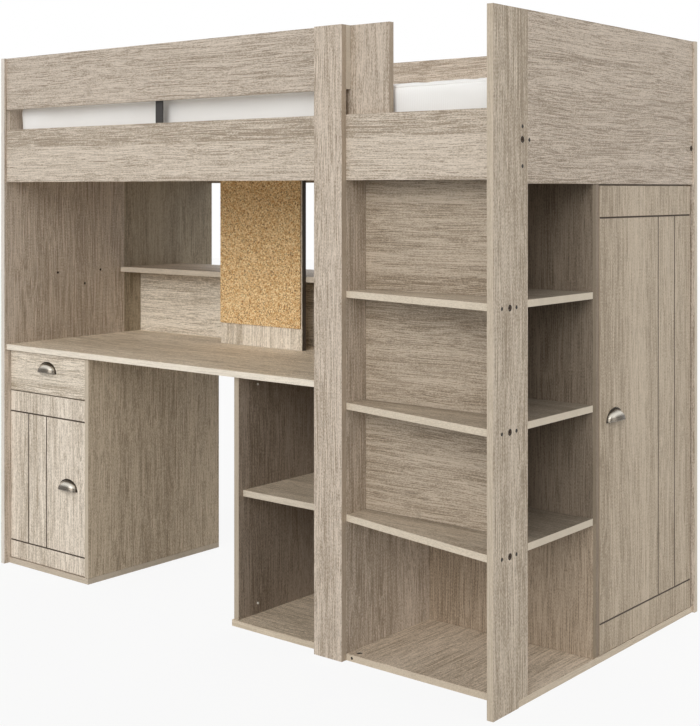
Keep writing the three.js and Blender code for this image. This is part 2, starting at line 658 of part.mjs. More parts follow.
// Cup half of a concealed hinge: a pressed steel cup with two ears, open to +Y
function hingeCup() {
  const cup = bar('y', HINGE_CUP_RADIUS, [0, -HINGE_CUP_DEPTH, 0], HINGE_EAR_THICKNESS);
  const ears = block(
    [-HINGE_EAR_WIDTH / 2, HINGE_EAR_WIDTH / 2],
    [0, HINGE_EAR_THICKNESS],
    [-HINGE_EAR_LENGTH / 2, HINGE_EAR_LENGTH / 2],
  );
  const hollow = bar(
    'y',
    HINGE_CUP_RADIUS - HINGE_CUP_WALL,
    [0, HINGE_CUP_WALL - HINGE_CUP_DEPTH, 0],
    HINGE_EAR_THICKNESS + OVERRUN,
  );
  return shaped(cup, [ears], [hollow]);
}

// Arm half of a concealed hinge: a plate against the carcass at X 0 and the arm that stands on it
function hingeArm() {
  const profile = [
    [0, 0],
    [HINGE_ARM_STAND, 0],
    [HINGE_ARM_STAND, HINGE_ARM_LENGTH - HINGE_ARM_STAND],
    [0, HINGE_ARM_LENGTH],
  ];
  const arm = slab(profile, -HINGE_ARM_WIDTH / 2, HINGE_ARM_WIDTH);
  const plate = block(
    [0, HINGE_PLATE],
    [HINGE_ARM_STAND, HINGE_ARM_STAND + HINGE_PLATE_LENGTH],
    [-HINGE_PLATE_HEIGHT / 2, HINGE_PLATE_HEIGHT / 2],
  );
  return shaped(arm, [plate], []);
}

// A hung door with its pull and its two hinges. side is -1 where the hinges are on the door's
// left edge and 1 where they are on its right edge; frameX is the carcass face that they stand on.
function hangDoor(name, group, size, side, frameX, margins, plank, pull) {
  const [width, height] = size;
  const hingeX = side < 0 ? 0 : width;
  const fromHinge = (distance) => hingeX - side * distance;
  const heights = { lower: HINGE_MARGIN, upper: height - HINGE_MARGIN };
  const plankEdges = [];
  for (let groove = 1; groove <= PLANK_GROOVES; groove++) plankEdges.push(fromHinge(groove * plank));
  const cupX = fromHinge(HINGE_CUP_INSET);
  const slabDoor = plankedDoor(width, height, margins, plankEdges, cupX, Object.values(heights));
  add(`${name}_door`, slabDoor, oakFront, group);
  const [pullInset, pullHeight] = pull;
  add(`${name}_door_pull`, cupPull(), brushedNickel, group).position.set(
    fromHinge(width - pullInset),
    -FIT,
    pullHeight,
  );
  for (const [place, z] of Object.entries(heights)) {
    const cup = add(`${name}_hinge_cup_${place}`, hingeCup(), zincSteel, group);
    cup.position.set(cupX, FRONT_BOARD + FIT, z);
    const arm = add(`${name}_hinge_arm_${place}`, hingeArm(), zincSteel, group);
    arm.position.set(frameX - side * FIT, FRONT_BOARD + FIT + HINGE_EAR_THICKNESS + SEAM, z);
    if (side > 0) arm.rotation.y = Math.PI;
  }
}

// Pedestal door, hinged on the left
const pedestalDoor = new THREE.Group();
const zPedestalDoor = BOARD + REVEAL;
const faceWidth = PEDESTAL_WIDTH - BOARD - 2 * REVEAL;
pedestalDoor.position.set(xLeftInner + REVEAL, yFace, zPedestalDoor);
bed.add(pedestalDoor);
hangDoor(
  'pedestal',
  pedestalDoor,
  [faceWidth, zDrawerFront - FRONTS_GAP - zPedestalDoor],
  -1,
  -REVEAL,
  PEDESTAL_GROOVE_MARGINS,
  PEDESTAL_PLANK,
  [PEDESTAL_PULL_INSET, PEDESTAL_PULL_HEIGHT - zPedestalDoor],
);

// Wardrobe door in the right end, hinged at the rear, its outer face to +X
const wardrobeDoor = new THREE.Group();
const zWardrobeDoor = BOARD + REVEAL;
const yWardrobeDoor = yWardrobe + REVEAL;
const wardrobeDoorWidth = rearLayer[0] + WARDROBE_TOP_GAP - yWardrobeDoor;
wardrobeDoor.position.set(-BASE_SETBACK, yWardrobeDoor, zWardrobeDoor);
wardrobeDoor.rotation.z = Math.PI / 2;
bed.add(wardrobeDoor);
hangDoor(
  'wardrobe',
  wardrobeDoor,
  [wardrobeDoorWidth, zHeadboard - WARDROBE_TOP_GAP - zWardrobeDoor],
  1,
  rearLayer[0] - yWardrobeDoor,
  WARDROBE_GROOVE_MARGINS,
  WARDROBE_PLANK,
  [WARDROBE_PULL_INSET, WARDROBE_PULL_HEIGHT - zWardrobeDoor],
);

// Drawer: front, box with a set-in bottom, pull, and a channel runner on each side of the pedestal
const xFace = xLeftInner + REVEAL;
board('drawer_front', [xFace, xFace + faceWidth], [yFace, yFaceBack], [zDrawerFront, zDrawerTop], oakFront);
const drawerPull = add('drawer_pull', cupPull(), brushedNickel);
drawerPull.position.set(xFace + faceWidth / 2, yFace - FIT, zDrawerFront + DRAWER_PULL_RISE);
const xBox = [pedestalSpan[0] + RUNNER_WIDTH + SEAM, pedestalSpan[1] - RUNNER_WIDTH - SEAM];
const yBox = [yFaceBack + SEAM, yFaceBack + SEAM + DRAWER_LENGTH];
const zBox = [zDrawerFront + DRAWER_BOX_RISE, zDesk - DRAWER_BOX_DROP];
const within = ([low, high]) => [low + DRAWER_WALL, high - DRAWER_WALL];
const zDrawerBottom = zBox[0] + DRAWER_BOTTOM_RISE;
const drawerBox = cut(block(xBox, yBox, zBox), [
  block(within(xBox), within(yBox), [zDrawerBottom + DRAWER_BOTTOM, zBox[1] + OVERRUN]),
  block(within(xBox), within(yBox), [zBox[0] - OVERRUN, zDrawerBottom]),
]);
add('drawer_box', drawerBox, birchPly);

function runner(name, x, hollowX) {
  const middle = (zBox[0] + zBox[1]) / 2;
  const z = [middle - RUNNER_HEIGHT / 2, middle + RUNNER_HEIGHT / 2];
  const hollow = block(
    hollowX,
    [yBox[0] - OVERRUN, yBox[1] + OVERRUN],
    [z[0] + RUNNER_WALL, z[1] - RUNNER_WALL],
  );
  add(name, cut(block(x, yBox, z), [hollow]), zincSteel);
}

const runnerLeft = [pedestalSpan[0], pedestalSpan[0] + RUNNER_WIDTH];
const runnerRight = [pedestalSpan[1] - RUNNER_WIDTH, pedestalSpan[1]];
runner('drawer_runner_left', runnerLeft, [runnerLeft[0] + RUNNER_WALL, runnerLeft[1] + OVERRUN]);
runner('drawer_runner_right', runnerRight, [runnerRight[0] - OVERRUN, runnerRight[1] - RUNNER_WALL]);

// The finished bed stands on the floor with its origin under the middle of its footprint
const middle = new THREE.Box3().setFromObject(bed).getCenter(new THREE.Vector3());
bed.position.set(-middle.x, -middle.y, 0);

export default bed;
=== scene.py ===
import math

import bmesh
import bpy
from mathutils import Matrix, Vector
from mathutils.bvhtree import BVHTree


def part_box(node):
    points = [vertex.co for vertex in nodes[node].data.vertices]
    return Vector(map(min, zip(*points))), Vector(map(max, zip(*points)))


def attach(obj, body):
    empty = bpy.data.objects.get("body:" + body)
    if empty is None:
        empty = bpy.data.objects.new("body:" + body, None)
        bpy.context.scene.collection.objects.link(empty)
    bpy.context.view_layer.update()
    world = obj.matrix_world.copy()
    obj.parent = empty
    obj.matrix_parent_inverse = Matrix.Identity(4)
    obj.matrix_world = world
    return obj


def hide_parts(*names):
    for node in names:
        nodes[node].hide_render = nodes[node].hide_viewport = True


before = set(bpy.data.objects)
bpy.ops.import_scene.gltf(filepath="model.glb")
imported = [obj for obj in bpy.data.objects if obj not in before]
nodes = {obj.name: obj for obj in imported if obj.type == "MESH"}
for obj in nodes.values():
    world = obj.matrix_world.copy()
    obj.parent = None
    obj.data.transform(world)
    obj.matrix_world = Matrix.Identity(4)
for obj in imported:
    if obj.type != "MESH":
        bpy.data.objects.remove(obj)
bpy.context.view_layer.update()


# Left end. Two full-height upright boards side by side carry the bed's left end. Each is 18 mm
# chipboard faced with oak-effect melamine and edged with a paler plastic band. The front one has
# three drilled holes above the desk, where the bare chipboard shows dark.

def linear(code):
    """An sRGB hex colour as the linear RGBA that a shader socket takes."""
    shares = [int(code[at:at + 2], 16) / 255 for at in (0, 2, 4)]
    return [s / 12.92 if s <= 0.04045 else ((s + 0.055) / 1.055) ** 2.4 for s in shares] + [1]


def add_node(tree, kind, settings, inputs):
    """Adds a shader node, with its settings, and with its inputs set or linked."""
    made = tree.nodes.new("ShaderNode" + kind)
    for name, value in settings.items():
        setattr(made, name, value)
    for key, value in inputs.items():
        if isinstance(value, bpy.types.NodeSocket):
            tree.links.new(value, made.inputs[key])
        else:
            made.inputs[key].default_value = value
    return made


def new_material(name):
    material = bpy.data.materials.new(name)
    material.use_nodes = True
    material.node_tree.nodes.clear()
    return material, material.node_tree


# The oak print: its planks, the waver of its lines, and each pattern's length along the grain, width
# across it and detail. The real hairlines and grit are about 0.5 mm wide, and are drawn 1.7 mm wide
# so that they show from across a room. Then each layer's share in the tone, and the darkest and
# lightest tone and the pores as shares of the face's colour.
PLANK_WIDTH = 0.094
PLANK_JOINT_SHARE = 0.018
OAK_WAVER = 0.024
OAK_PATTERNS = {
    "drift": (0.45, 0.10, 1.0), "grit": (0.0055, 0.0017, 0.0), "hairlines": (0.20, 0.0017, 1.0),
    "streaks": (0.32, 0.0050, 3.0), "figure": (0.90, 0.034, 2.0), "pores": (0.030, 0.0017, 0.0),
    "saw marks": (0.0045, 0.028, 1.0)}
OAK_TONE_SHARES = {"grit": 1.6, "hairlines": 3.3, "streaks": 0.6, "figure": 1.1, "planks": 0.42,
                   "saw marks": 0.3, "joints": -0.2}
OAK_DARK = (0.60, 0.56, 0.50, 1)
OAK_LIGHT = (1.40, 1.44, 1.50, 1)
PORE_DARK = 0.42
BAND_ROUNDING = 0.0008


def oak_melamine(board, grain, thickness, face, band, phase=0.0, grooved=False, darker=None,
                 band_cover=0.68):
    """Melamine printed as sawn grey-beige oak: planks, each with its own tone and a thin dark joint,
    long streaks, hairlines, short fine grit, dark pores and faint cross marks of the saw. Satin,
    barely embossed. The phase shifts the planks. Darker paints shade over the print: an axis, where
    along it the painted shade begins and is full, and the share of the tone left there. Grooved paints
    shade into the grooves' sloping faces. The edge band carries the same print, fainter."""
    material, tree = new_material("oak-effect melamine " + board.replace("_", " "))
    across = "xyz".replace(grain, "").replace(thickness, "")
    place = add_node(tree, "TexCoord", {}, {})
    shifted = add_node(tree, "VectorMath", {"operation": "ADD"},
                       {0: place.outputs["Object"], 1: (phase, phase, phase)})

    def pattern(layer, spot):
        along, wide, detail = OAK_PATTERNS[layer]
        scale = [1 / wide] * 3
        scale["xyz".index(grain)] = 1 / along
        stretched = add_node(tree, "Mapping", {}, {"Vector": spot.outputs["Vector"], "Scale": scale})
        return add_node(tree, "TexNoise", {}, {
            "Vector": stretched.outputs["Vector"], "Scale": 1.0, "Detail": detail, "Roughness": 0.6})

    drift = pattern("drift", shifted)
    wavy = add_node(tree, "VectorMath", {"operation": "MULTIPLY_ADD"}, {
        0: drift.outputs["Color"], 1: (OAK_WAVER,) * 3, 2: shifted.outputs["Vector"]})
    layers = {layer: pattern(layer, spot).outputs["Fac"] for layer, spot in (
        ("grit", shifted), ("hairlines", wavy), ("streaks", wavy), ("figure", wavy), ("pores", wavy),
        ("saw marks", shifted))}
    axes = add_node(tree, "SeparateXYZ", {}, {"Vector": shifted.outputs["Vector"]})
    plank_place = add_node(tree, "Math", {"operation": "DIVIDE"},
                           {0: axes.outputs[across.upper()], 1: PLANK_WIDTH})
    plank = add_node(tree, "Math", {"operation": "FLOOR"}, {0: plank_place.outputs[0]})
    plank_tone = add_node(tree, "TexWhiteNoise", {"noise_dimensions": "1D"}, {"W": plank.outputs[0]})
    layers["planks"] = plank_tone.outputs["Value"]
    within_plank = add_node(tree, "Math", {"operation": "FRACT"}, {0: plank_place.outputs[0]})
    joint = add_node(tree, "Math", {"operation": "LESS_THAN"},
                     {0: within_plank.outputs[0], 1: PLANK_JOINT_SHARE})
    layers["joints"] = joint.outputs[0]

    tone = 0.5 - sum(OAK_TONE_SHARES.values()) / 2
    for layer, share in OAK_TONE_SHARES.items():
        tone = add_node(tree, "Math", {"operation": "MULTIPLY_ADD"},
                        {0: layers[layer], 1: share, 2: tone}).outputs[0]
    middle = linear(face)
    dark = [value * share for value, share in zip(middle, OAK_DARK)]
    light = [value * share for value, share in zip(middle, OAK_LIGHT)]
    print_colour = add_node(tree, "Mix", {"data_type": "RGBA"}, {0: tone, 6: dark, 7: light})
    pore_share = add_node(tree, "MapRange", {}, {0: layers["pores"], 1: 0.58, 2: 0.72, 3: 0.0, 4: 0.35})
    pore_colour = [value * PORE_DARK for value in middle[:3]] + [1]
    printed = add_node(tree, "Mix", {"data_type": "RGBA"}, {
        0: pore_share.outputs[0], 6: print_colour.outputs[2], 7: pore_colour})

    facing = add_node(tree, "SeparateXYZ", {}, {"Vector": place.outputs["Normal"]})
    square_on = add_node(tree, "Math", {"operation": "ABSOLUTE"},
                         {0: facing.outputs[thickness.upper()]})
    colour = printed
    # Painted shade: the print is darkened along an axis
    if darker:
        axis, begins, full, share = darker
        spot = add_node(tree, "SeparateXYZ", {}, {"Vector": place.outputs["Object"]})
        depth = add_node(tree, "MapRange", {}, {
            0: spot.outputs[axis], 1: begins, 2: full, 3: 1.0, 4: share})
        colour = add_node(tree, "Mix", {"data_type": "RGBA", "blend_type": "MULTIPLY"}, {
            0: 1.0, 6: printed.outputs[2], 7: depth.outputs[0]})
    # Painted shade in the milled grooves: their sloping faces are coloured dark brown
    if grooved:
        slope = add_node(tree, "Math", {"operation": "COMPARE"},
                         {0: square_on.outputs[0], 1: 0.707, 2: 0.15})
        colour = add_node(tree, "Mix", {"data_type": "RGBA"}, {
            0: slope.outputs[0], 6: colour.outputs[2], 7: linear("4c4034")})
    band_share = add_node(tree, "MapRange", {}, {
        0: square_on.outputs[0], 1: 0.3, 2: 0.55, 3: band_cover, 4: 0.0})
    banded = add_node(tree, "Mix", {"data_type": "RGBA"}, {
        0: band_share.outputs[0], 6: colour.outputs[2], 7: linear(band)})
    gloss = add_node(tree, "MapRange", {}, {0: layers["streaks"], 1: 0.3, 2: 0.7, 3: 0.47, 4: 0.60})
    relief = add_node(tree, "Math", {"operation": "MULTIPLY_ADD"},
                      {0: layers["saw marks"], 1: 0.5, 2: layers["streaks"]})
    embossed = add_node(tree, "Bump", {}, {
        "Strength": 0.35, "Distance": 0.0004, "Height": relief.outputs[0]})
    surface = add_node(tree, "BsdfPrincipled", {}, {
        "Base Color": banded.outputs[2], "Roughness": gloss.outputs[0], "IOR": 1.5,
        "Normal": embossed.outputs[0]})
    add_node(tree, "OutputMaterial", {}, {"Surface": surface.outputs[0]})
    return material


def give(name, material):
    """A CAD piece takes a finish."""
    slots = nodes[name].material_slots
    if slots:
        for place in slots:
            place.material = material
    else:
        nodes[name].data.materials.append(material)


def face_board(name, grain, thickness, face, band, phase=0.0, **more):
    """A CAD board takes its melamine, and the small rounding of its edge band."""
    give(name, oak_melamine(name, grain, thickness, face, band, phase, **more))
    rounding = nodes[name].modifiers.new("edge band rounding", "BEVEL")
    rounding.width = BAND_ROUNDING
    rounding.segments = 2
    rounding.limit_method = "ANGLE"


face_board("left_end_front_board", "z", "x", "b6a796", "e2dcd4")
# The rear board's face is given a darker colour: painted shade, deep under the bed.
face_board("left_end_rear_board", "z", "x", "978973", "c9bdaa", 0.37)


def lathe(name, rings, sides, materials):
    """A round piece along +X from rings of (radius, x, hexagon share, material index). A hexagon
    share of 1 makes that ring a hexagon. The first and last ring are filled."""
    mesh = bpy.data.meshes.new(name)
    made = bmesh.new()
    loops = []
    for radius, x, hexagon, _ in rings:
        loop = []
        for side in range(sides):
            angle = 2 * math.pi * side / sides
            flat = math.cos(math.pi / 6) / math.cos(angle % (math.pi / 3) - math.pi / 6)
            reach = radius * (1 + hexagon * (flat - 1))
            loop.append(made.verts.new((x, reach * math.cos(angle), reach * math.sin(angle))))
        loops.append(loop)
    for low, high, ring in zip(loops, loops[1:], rings[1:]):
        for side in range(sides):
            after = (side + 1) % sides
            made.faces.new((low[side], low[after], high[after], high[side])).material_index = ring[3]
    made.faces.new(reversed(loops[0])).material_index = rings[0][3]
    made.faces.new(loops[-1]).material_index = rings[-1][3]
    made.to_mesh(mesh)
    made.free()
    for material in materials:
        mesh.materials.append(material)
    return mesh


def put(name, mesh, at, body, turn=(0, 0, 0)):
    """Stands a mesh at a point of the row frame and lets it ride on a body."""
    piece = bpy.data.objects.new(name, mesh)
    bpy.context.scene.collection.objects.link(piece)
    piece.location = at
    piece.rotation_euler = turn
    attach(piece, body)
    return piece


# Bare chipboard in a drilled hole: coarse glued wood chips, dark because little light gets in
CHIP_SIZE = 0.0015
chipboard, tree = new_material("bare chipboard in a drilled hole")
place = add_node(tree, "TexCoord", {}, {})
chips = add_node(tree, "TexVoronoi", {}, {"Vector": place.outputs["Object"], "Scale": 1 / CHIP_SIZE})
chip_share = add_node(tree, "Math", {"operation": "MULTIPLY"}, {0: chips.outputs["Distance"], 1: 0.6})
chip_colour = add_node(tree, "Mix", {"data_type": "RGBA"}, {
    0: chip_share.outputs[0], 6: linear("3d3128"), 7: linear("5c4a3a")})
surface = add_node(tree, "BsdfPrincipled", {}, {"Base Color": chip_colour.outputs[2], "Roughness": 0.9})
add_node(tree, "OutputMaterial", {}, {"Surface": surface.outputs[0]})

# The holes' radius, and their places as shares of the board's width and height
HOLE_RADIUS = 0.0044
HOLE_SHARES = [(0.426, 0.57), (0.653, 0.544), (0.789, 0.571)]
hole_rings = [(0.0030, -0.0097, 0, 0), (HOLE_RADIUS, -0.0095, 0, 0), (HOLE_RADIUS, -0.0003, 0, 0),
              (0.0038, -0.0003, 0, 0), (0.0036, -0.0080, 0, 0)]
hole_lining = lathe("hole_lining", hole_rings, 24, [chipboard])
low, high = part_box("left_end_front_board")
for index, (across, up) in enumerate(HOLE_SHARES):
    spot = (high.x, low.y + across * (high.y - low.y), up * high.z)
    put(f"shelf_hole_{index + 1}", hole_lining, spot, "frame")


# Posts. The front post runs from the floor to the guard rail's top, beside the steps, and the rear
# post stands outside the rear corner. Same melamine boards, grain upright, screwed to the rails.
face_board("front_post", "z", "y", "b8a998", "a08f7b", 0.11)
face_board("rear_post", "z", "y", "b6a796", "c9bdaa", 0.53)


# Right end's narrow front board. It holds the front ends of the three steps with a bolt and two
# dowels each, and the bearer rail with one more such set. The bolts are bronzed steel with a hex
# socket, sunk flush, and the dowel holes are closed with dark plastic plugs.
face_board("right_end_front_board", "z", "x", "b7a895", "bfb19d", 0.21)


def mottled_finish(name, patch, detail, dark, light, roughness, metallic=0.0, peel=None):
    """A fitting's finish, whose colour wanders between two tones in patches of a real size. Roughness
    is a number, or a pair between which it wanders too. Peel is a relief's strength and depth."""
    material, tree = new_material(name)
    place = add_node(tree, "TexCoord", {}, {})
    patches = add_node(tree, "TexNoise", {}, {
        "Vector": place.outputs["Object"], "Scale": 1 / patch, "Detail": detail})
    colour = add_node(tree, "Mix", {"data_type": "RGBA"}, {
        0: patches.outputs["Fac"], 6: linear(dark), 7: linear(light)})
    if isinstance(roughness, tuple):
        smoothest, dullest = roughness
        roughness = add_node(tree, "MapRange", {}, {
            0: patches.outputs["Fac"], 1: 0.3, 2: 0.7, 3: smoothest, 4: dullest}).outputs[0]
    surface = add_node(tree, "BsdfPrincipled", {}, {
        "Base Color": colour.outputs[2], "Metallic": metallic, "Roughness": roughness})
    if peel:
        raised = add_node(tree, "Bump", {}, {
            "Strength": peel[0], "Distance": peel[1], "Height": patches.outputs["Fac"]})
        tree.links.new(raised.outputs[0], surface.inputs["Normal"])
    add_node(tree, "OutputMaterial", {}, {"Surface": surface.outputs[0]})
    return material


# Bronzed steel: dark brown oxide on turned steel, with a dull sheen
bronzed = mottled_finish("bronzed steel, turned", 0.004, 3.0, "352b23", "6b594a", (0.38, 0.6), 0.8)

# Black oxide on the rim: the ring round the bolt's socket stays nearly black, with a dull sheen
black_rim = mottled_finish("steel, black oxide rim", 0.003, 2.0, "17110d", "2c231c", 0.6, 0.3)

# Dark brown polyethylene plug: moulded, matt
plug_plastic = mottled_finish(
    "dark brown polyethylene, moulded", 0.0008, 1.0, "14100c", "2b221b", 0.55)

bolt_rings = [(0.0060, -0.0060, 0, 0), (0.0083, -0.0050, 0, 1), (0.0083, -0.0010, 0, 1),
              (0.0080, -0.0004, 0, 1), (0.0062, -0.0003, 0, 1), (0.0054, -0.0010, 0, 1),
              (0.0036, -0.0012, 0, 0), (0.0032, -0.0014, 1, 0), (0.0031, -0.0045, 1, 0)]
bolt_head = lathe("bolt_head", bolt_rings, 36, [bronzed, black_rim])
plug_rings = [(0.0053, -0.0050, 0, 0), (0.0056, -0.0040, 0, 0), (0.0056, -0.0008, 0, 0),
              (0.0050, -0.0004, 0, 0), (0.0025, -0.0003, 0, 0)]
dowel_plug = lathe("dowel_plug", plug_rings, 28, [plug_plastic])

# Places: below a step's top, behind the board's front edge, and from the bearer rail's upper edge
STEP_BOLT_DROP = 0.014
STEP_BOLT_SETBACK = 0.073
STEP_PLUG_SETBACKS = {"front": 0.038, "rear": 0.102}
BEARER_BOLT_SETBACK = 0.006
BEARER_BOLT_DROP = 0.049
BEARER_PLUG_RISES = {"above": 0.032, "below": -0.065}
low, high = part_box("right_end_front_board")
end_face, front_edge = high.x, low.y
for step in ("lower", "middle", "upper"):
    bolt_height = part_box(f"step_shelf_{step}")[1].z - STEP_BOLT_DROP
    spot = (end_face, front_edge + STEP_BOLT_SETBACK, bolt_height)
    put(f"step_bolt_{step}", bolt_head, spot, "frame")
    for place_name, setback in STEP_PLUG_SETBACKS.items():
        spot = (end_face, front_edge + setback, bolt_height)
        put(f"step_plug_{step}_{place_name}", dowel_plug, spot, "frame")
bearer_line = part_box("front_bearer_rail")[0].y + BEARER_BOLT_SETBACK
bearer_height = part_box("front_bearer_rail")[1].z - BEARER_BOLT_DROP
put("bearer_bolt", bolt_head, (end_face, bearer_line, bearer_height), "frame")
for place_name, rise in BEARER_PLUG_RISES.items():
    spot = (end_face, bearer_line, bearer_height + rise)
    put(f"bearer_plug_{place_name}", dowel_plug, spot, "frame")


# Headboard. A wide board closes the right end of the bed between the front board and the rear
# corner, grain lying along it, with one dowel plug at its front and one bolt into the rear rail.
HEADBOARD_PLUG_INSET = 0.007
HEADBOARD_BOLT_INSET = 0.009
face_board("headboard", "y", "x", "b0a190", "c9bdaa", 0.747)
low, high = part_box("headboard")
for name, mesh, line in (("headboard_plug", dowel_plug, low.y + HEADBOARD_PLUG_INSET),
                         ("headboard_bolt", bolt_head, high.y - HEADBOARD_BOLT_INSET)):
    put(name, mesh, (high.x, line, bearer_height), "frame")


# Rails. Guard rail and lower rail along the front and the rear, with the grain along them. They
# are screwed between the ends, and the front ones lie behind the front post.
for name, face, phase in (("front_guard_rail", "b1a393", 1.343), ("front_lower_rail", "b9ab9a", 0.294)):
    face_board(name, "x", "y", face, "cbbfad", phase)
for name, phase in (("rear_guard_rail", 0.83), ("rear_lower_rail", 0.47), ("front_bearer_rail", 0.59)):
    face_board(name, "x", "y", "b6a796", "c9bdaa", phase)


# Entry board. A short upright board beside the gap where one climbs in, of the same melamine with
# upright grain, screwed to the inside of the front rails.
face_board("entry_board", "z", "y", "b0a190", "a99985", 0.73)


# Connector bar. A flat steel strip with a black powder coat ties the guard rail to the lower rail
# on the bed's side, with two pan-head screws at each end.

# Black powder coat on steel: fine orange peel, semi-matt
powder_coat = mottled_finish("steel, black powder coat", 0.0012, 2.0, "262321", "383431", 0.5,
                             peel=(0.4, 0.0002))
give("guard_connector_bar", powder_coat)

# The screws' places, from the strip's lower and upper end
LOWER_SCREW_RISES = (0.007, 0.018)
UPPER_SCREW_DROPS = (0.040, 0.018)
screw_rings = [(0.0040, 0.0, 0, 0), (0.0042, 0.0003, 0, 0), (0.0038, 0.0015, 0, 0),
               (0.0028, 0.0022, 0, 0), (0.0017, 0.0024, 0, 0), (0.0015, 0.0023, 1, 0),
               (0.0013, 0.0008, 1, 0)]
screw_head = lathe("screw_head", screw_rings, 28, [bronzed])
low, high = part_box("guard_connector_bar")
screw_heights = [low.z + rise for rise in LOWER_SCREW_RISES]
screw_heights += [high.z - drop for drop in UPPER_SCREW_DROPS]
for index, height in enumerate(screw_heights):
    spot = ((low.x + high.x) / 2, high.y, height)
    put(f"connector_screw_{index + 1}", screw_head, spot, "frame", (0, 0, math.pi / 2))


# Slat base. Fourteen planed pine slats lie on a cleat along each side, stapled to two strips of
# polyester webbing so that they unroll as one mat.

GROWTH_LINE_LENGTH = 0.30


def planed_wood(name, grain, light, dark, line_width, cover=None):
    """Bare planed softwood or ply: growth lines along the grain, a few darker lines, matt. Cover is
    a function that lays something over the wood's colour."""
    material, tree = new_material(name)
    place = add_node(tree, "TexCoord", {}, {})
    scale = [1 / line_width] * 3
    scale["xyz".index(grain)] = 1 / GROWTH_LINE_LENGTH
    stretched = add_node(tree, "Mapping", {}, {"Vector": place.outputs["Object"], "Scale": scale})
    lines = add_node(tree, "TexNoise", {}, {
        "Vector": stretched.outputs["Vector"], "Scale": 1.0, "Detail": 3.0, "Roughness": 0.6})
    share = add_node(tree, "MapRange", {}, {0: lines.outputs["Fac"], 1: 0.35, 2: 0.68, 3: 0.0, 4: 1.0})
    wood = add_node(tree, "Mix", {"data_type": "RGBA"}, {
        0: share.outputs[0], 6: linear(light), 7: linear(dark)})
    colour = cover(tree, place, wood) if cover else wood
    raised = add_node(tree, "Bump", {}, {
        "Strength": 0.3, "Distance": 0.0003, "Height": lines.outputs["Fac"]})
    surface = add_node(tree, "BsdfPrincipled", {}, {
        "Base Color": colour.outputs[2], "Roughness": 0.65, "Normal": raised.outputs[0]})
    add_node(tree, "OutputMaterial", {}, {"Surface": surface.outputs[0]})
    return material


PINE_LINE_WIDTH = 0.006
pine_rail = planed_wood("pine, planed, grain lengthwise", "x", "dcc49a", "c29f6c", PINE_LINE_WIDTH)
for name in ("front_slat_cleat", "rear_slat_cleat"):
    give(name, pine_rail)

# The two webbing strips: woven polyester, off-white. Their 2 mm ribs are drawn 4 mm apart to show.
# A wave texture at scale 1 repeats at the wave pitch.
WEBBING_INSET = 0.175
WEBBING_HALF_WIDTH = 0.0152
WEBBING_DEPTH = 0.00305
RIB_PITCH = 0.003948
WAVE_PITCH = math.pi / 10


def webbing(tree, place, wood):
    """Colours the upper side of the slat roll as ribbed webbing, where a strip lies."""
    low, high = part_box("slat_roll")
    axes = add_node(tree, "SeparateXYZ", {}, {"Vector": place.outputs["Object"]})
    strips = [add_node(tree, "Math", {"operation": "COMPARE"},
                       {0: axes.outputs["Y"], 1: middle, 2: WEBBING_HALF_WIDTH})
              for middle in (low.y + WEBBING_INSET, high.y - WEBBING_INSET)]
    on_strip = add_node(tree, "Math", {"operation": "ADD"},
                        {0: strips[0].outputs[0], 1: strips[1].outputs[0]})
    upper = add_node(tree, "Math", {"operation": "GREATER_THAN"},
                     {0: axes.outputs["Z"], 1: high.z - WEBBING_DEPTH})
    share = add_node(tree, "Math", {"operation": "MULTIPLY"}, {0: on_strip.outputs[0], 1: upper.outputs[0]})
    ribs = add_node(tree, "TexWave", {"bands_direction": "X"}, {
        "Vector": place.outputs["Object"], "Scale": WAVE_PITCH / RIB_PITCH, "Distortion": 0.0})
    ribbed = add_node(tree, "Mix", {"data_type": "RGBA"}, {
        0: ribs.outputs["Fac"], 6: linear("c9c4b8"), 7: linear("e6e2d8")})
    return add_node(tree, "Mix", {"data_type": "RGBA"}, {
        0: share.outputs[0], 6: wood.outputs[2], 7: ribbed.outputs[2]})


give("slat_roll", planed_wood(
    "pine slats with polyester webbing", "y", "dcc49a", "c29f6c", PINE_LINE_WIDTH, webbing))


# Mattress. A foam core in a quilted cover of off-white cotton ticking, 2000 x 900 mm, sewn with a
# tape edge round the top and the bottom panel. The cover is blown up a little by cloth simulation
# from the CAD form, held to that form's space, and then quilted.

# Cotton ticking: plain weave, soft sheen, matt. The real 0.5 mm threads are drawn 6 mm apart to show.
THREAD_PITCH = 0.005922
CLOUD_WIDTH = 1 / 6
ticking, tree = new_material("cotton ticking, woven, off-white")
place = add_node(tree, "TexCoord", {}, {})
weave_wave = []
for direction in "XY":
    threads = add_node(tree, "TexWave", {"bands_direction": direction}, {
        "Vector": place.outputs["Object"], "Scale": WAVE_PITCH / THREAD_PITCH, "Distortion": 0.4,
        "Detail": 1.0})
    weave_wave.append(threads.outputs["Fac"])
weave = add_node(tree, "Math", {"operation": "MULTIPLY"}, {0: weave_wave[0], 1: weave_wave[1]})
clouding = add_node(tree, "TexNoise", {}, {
    "Vector": place.outputs["Object"], "Scale": 1 / CLOUD_WIDTH, "Detail": 3.0})
cloth_share = add_node(tree, "Math", {"operation": "MULTIPLY_ADD"}, {
    0: weave.outputs[0], 1: 0.4, 2: clouding.outputs["Fac"]})
cloth_colour = add_node(tree, "Mix", {"data_type": "RGBA"}, {
    0: cloth_share.outputs[0], 6: linear("f0eeea"), 7: linear("fbfaf8")})
weave_bump = add_node(tree, "Bump", {}, {
    "Strength": 0.25, "Distance": 0.0006, "Height": weave.outputs[0]})
surface = add_node(tree, "BsdfPrincipled", {}, {
    "Base Color": cloth_colour.outputs[2], "Roughness": 0.92, "Sheen Weight": 0.15,
    "Normal": weave_bump.outputs[0]})
add_node(tree, "OutputMaterial", {}, {"Surface": surface.outputs[0]})

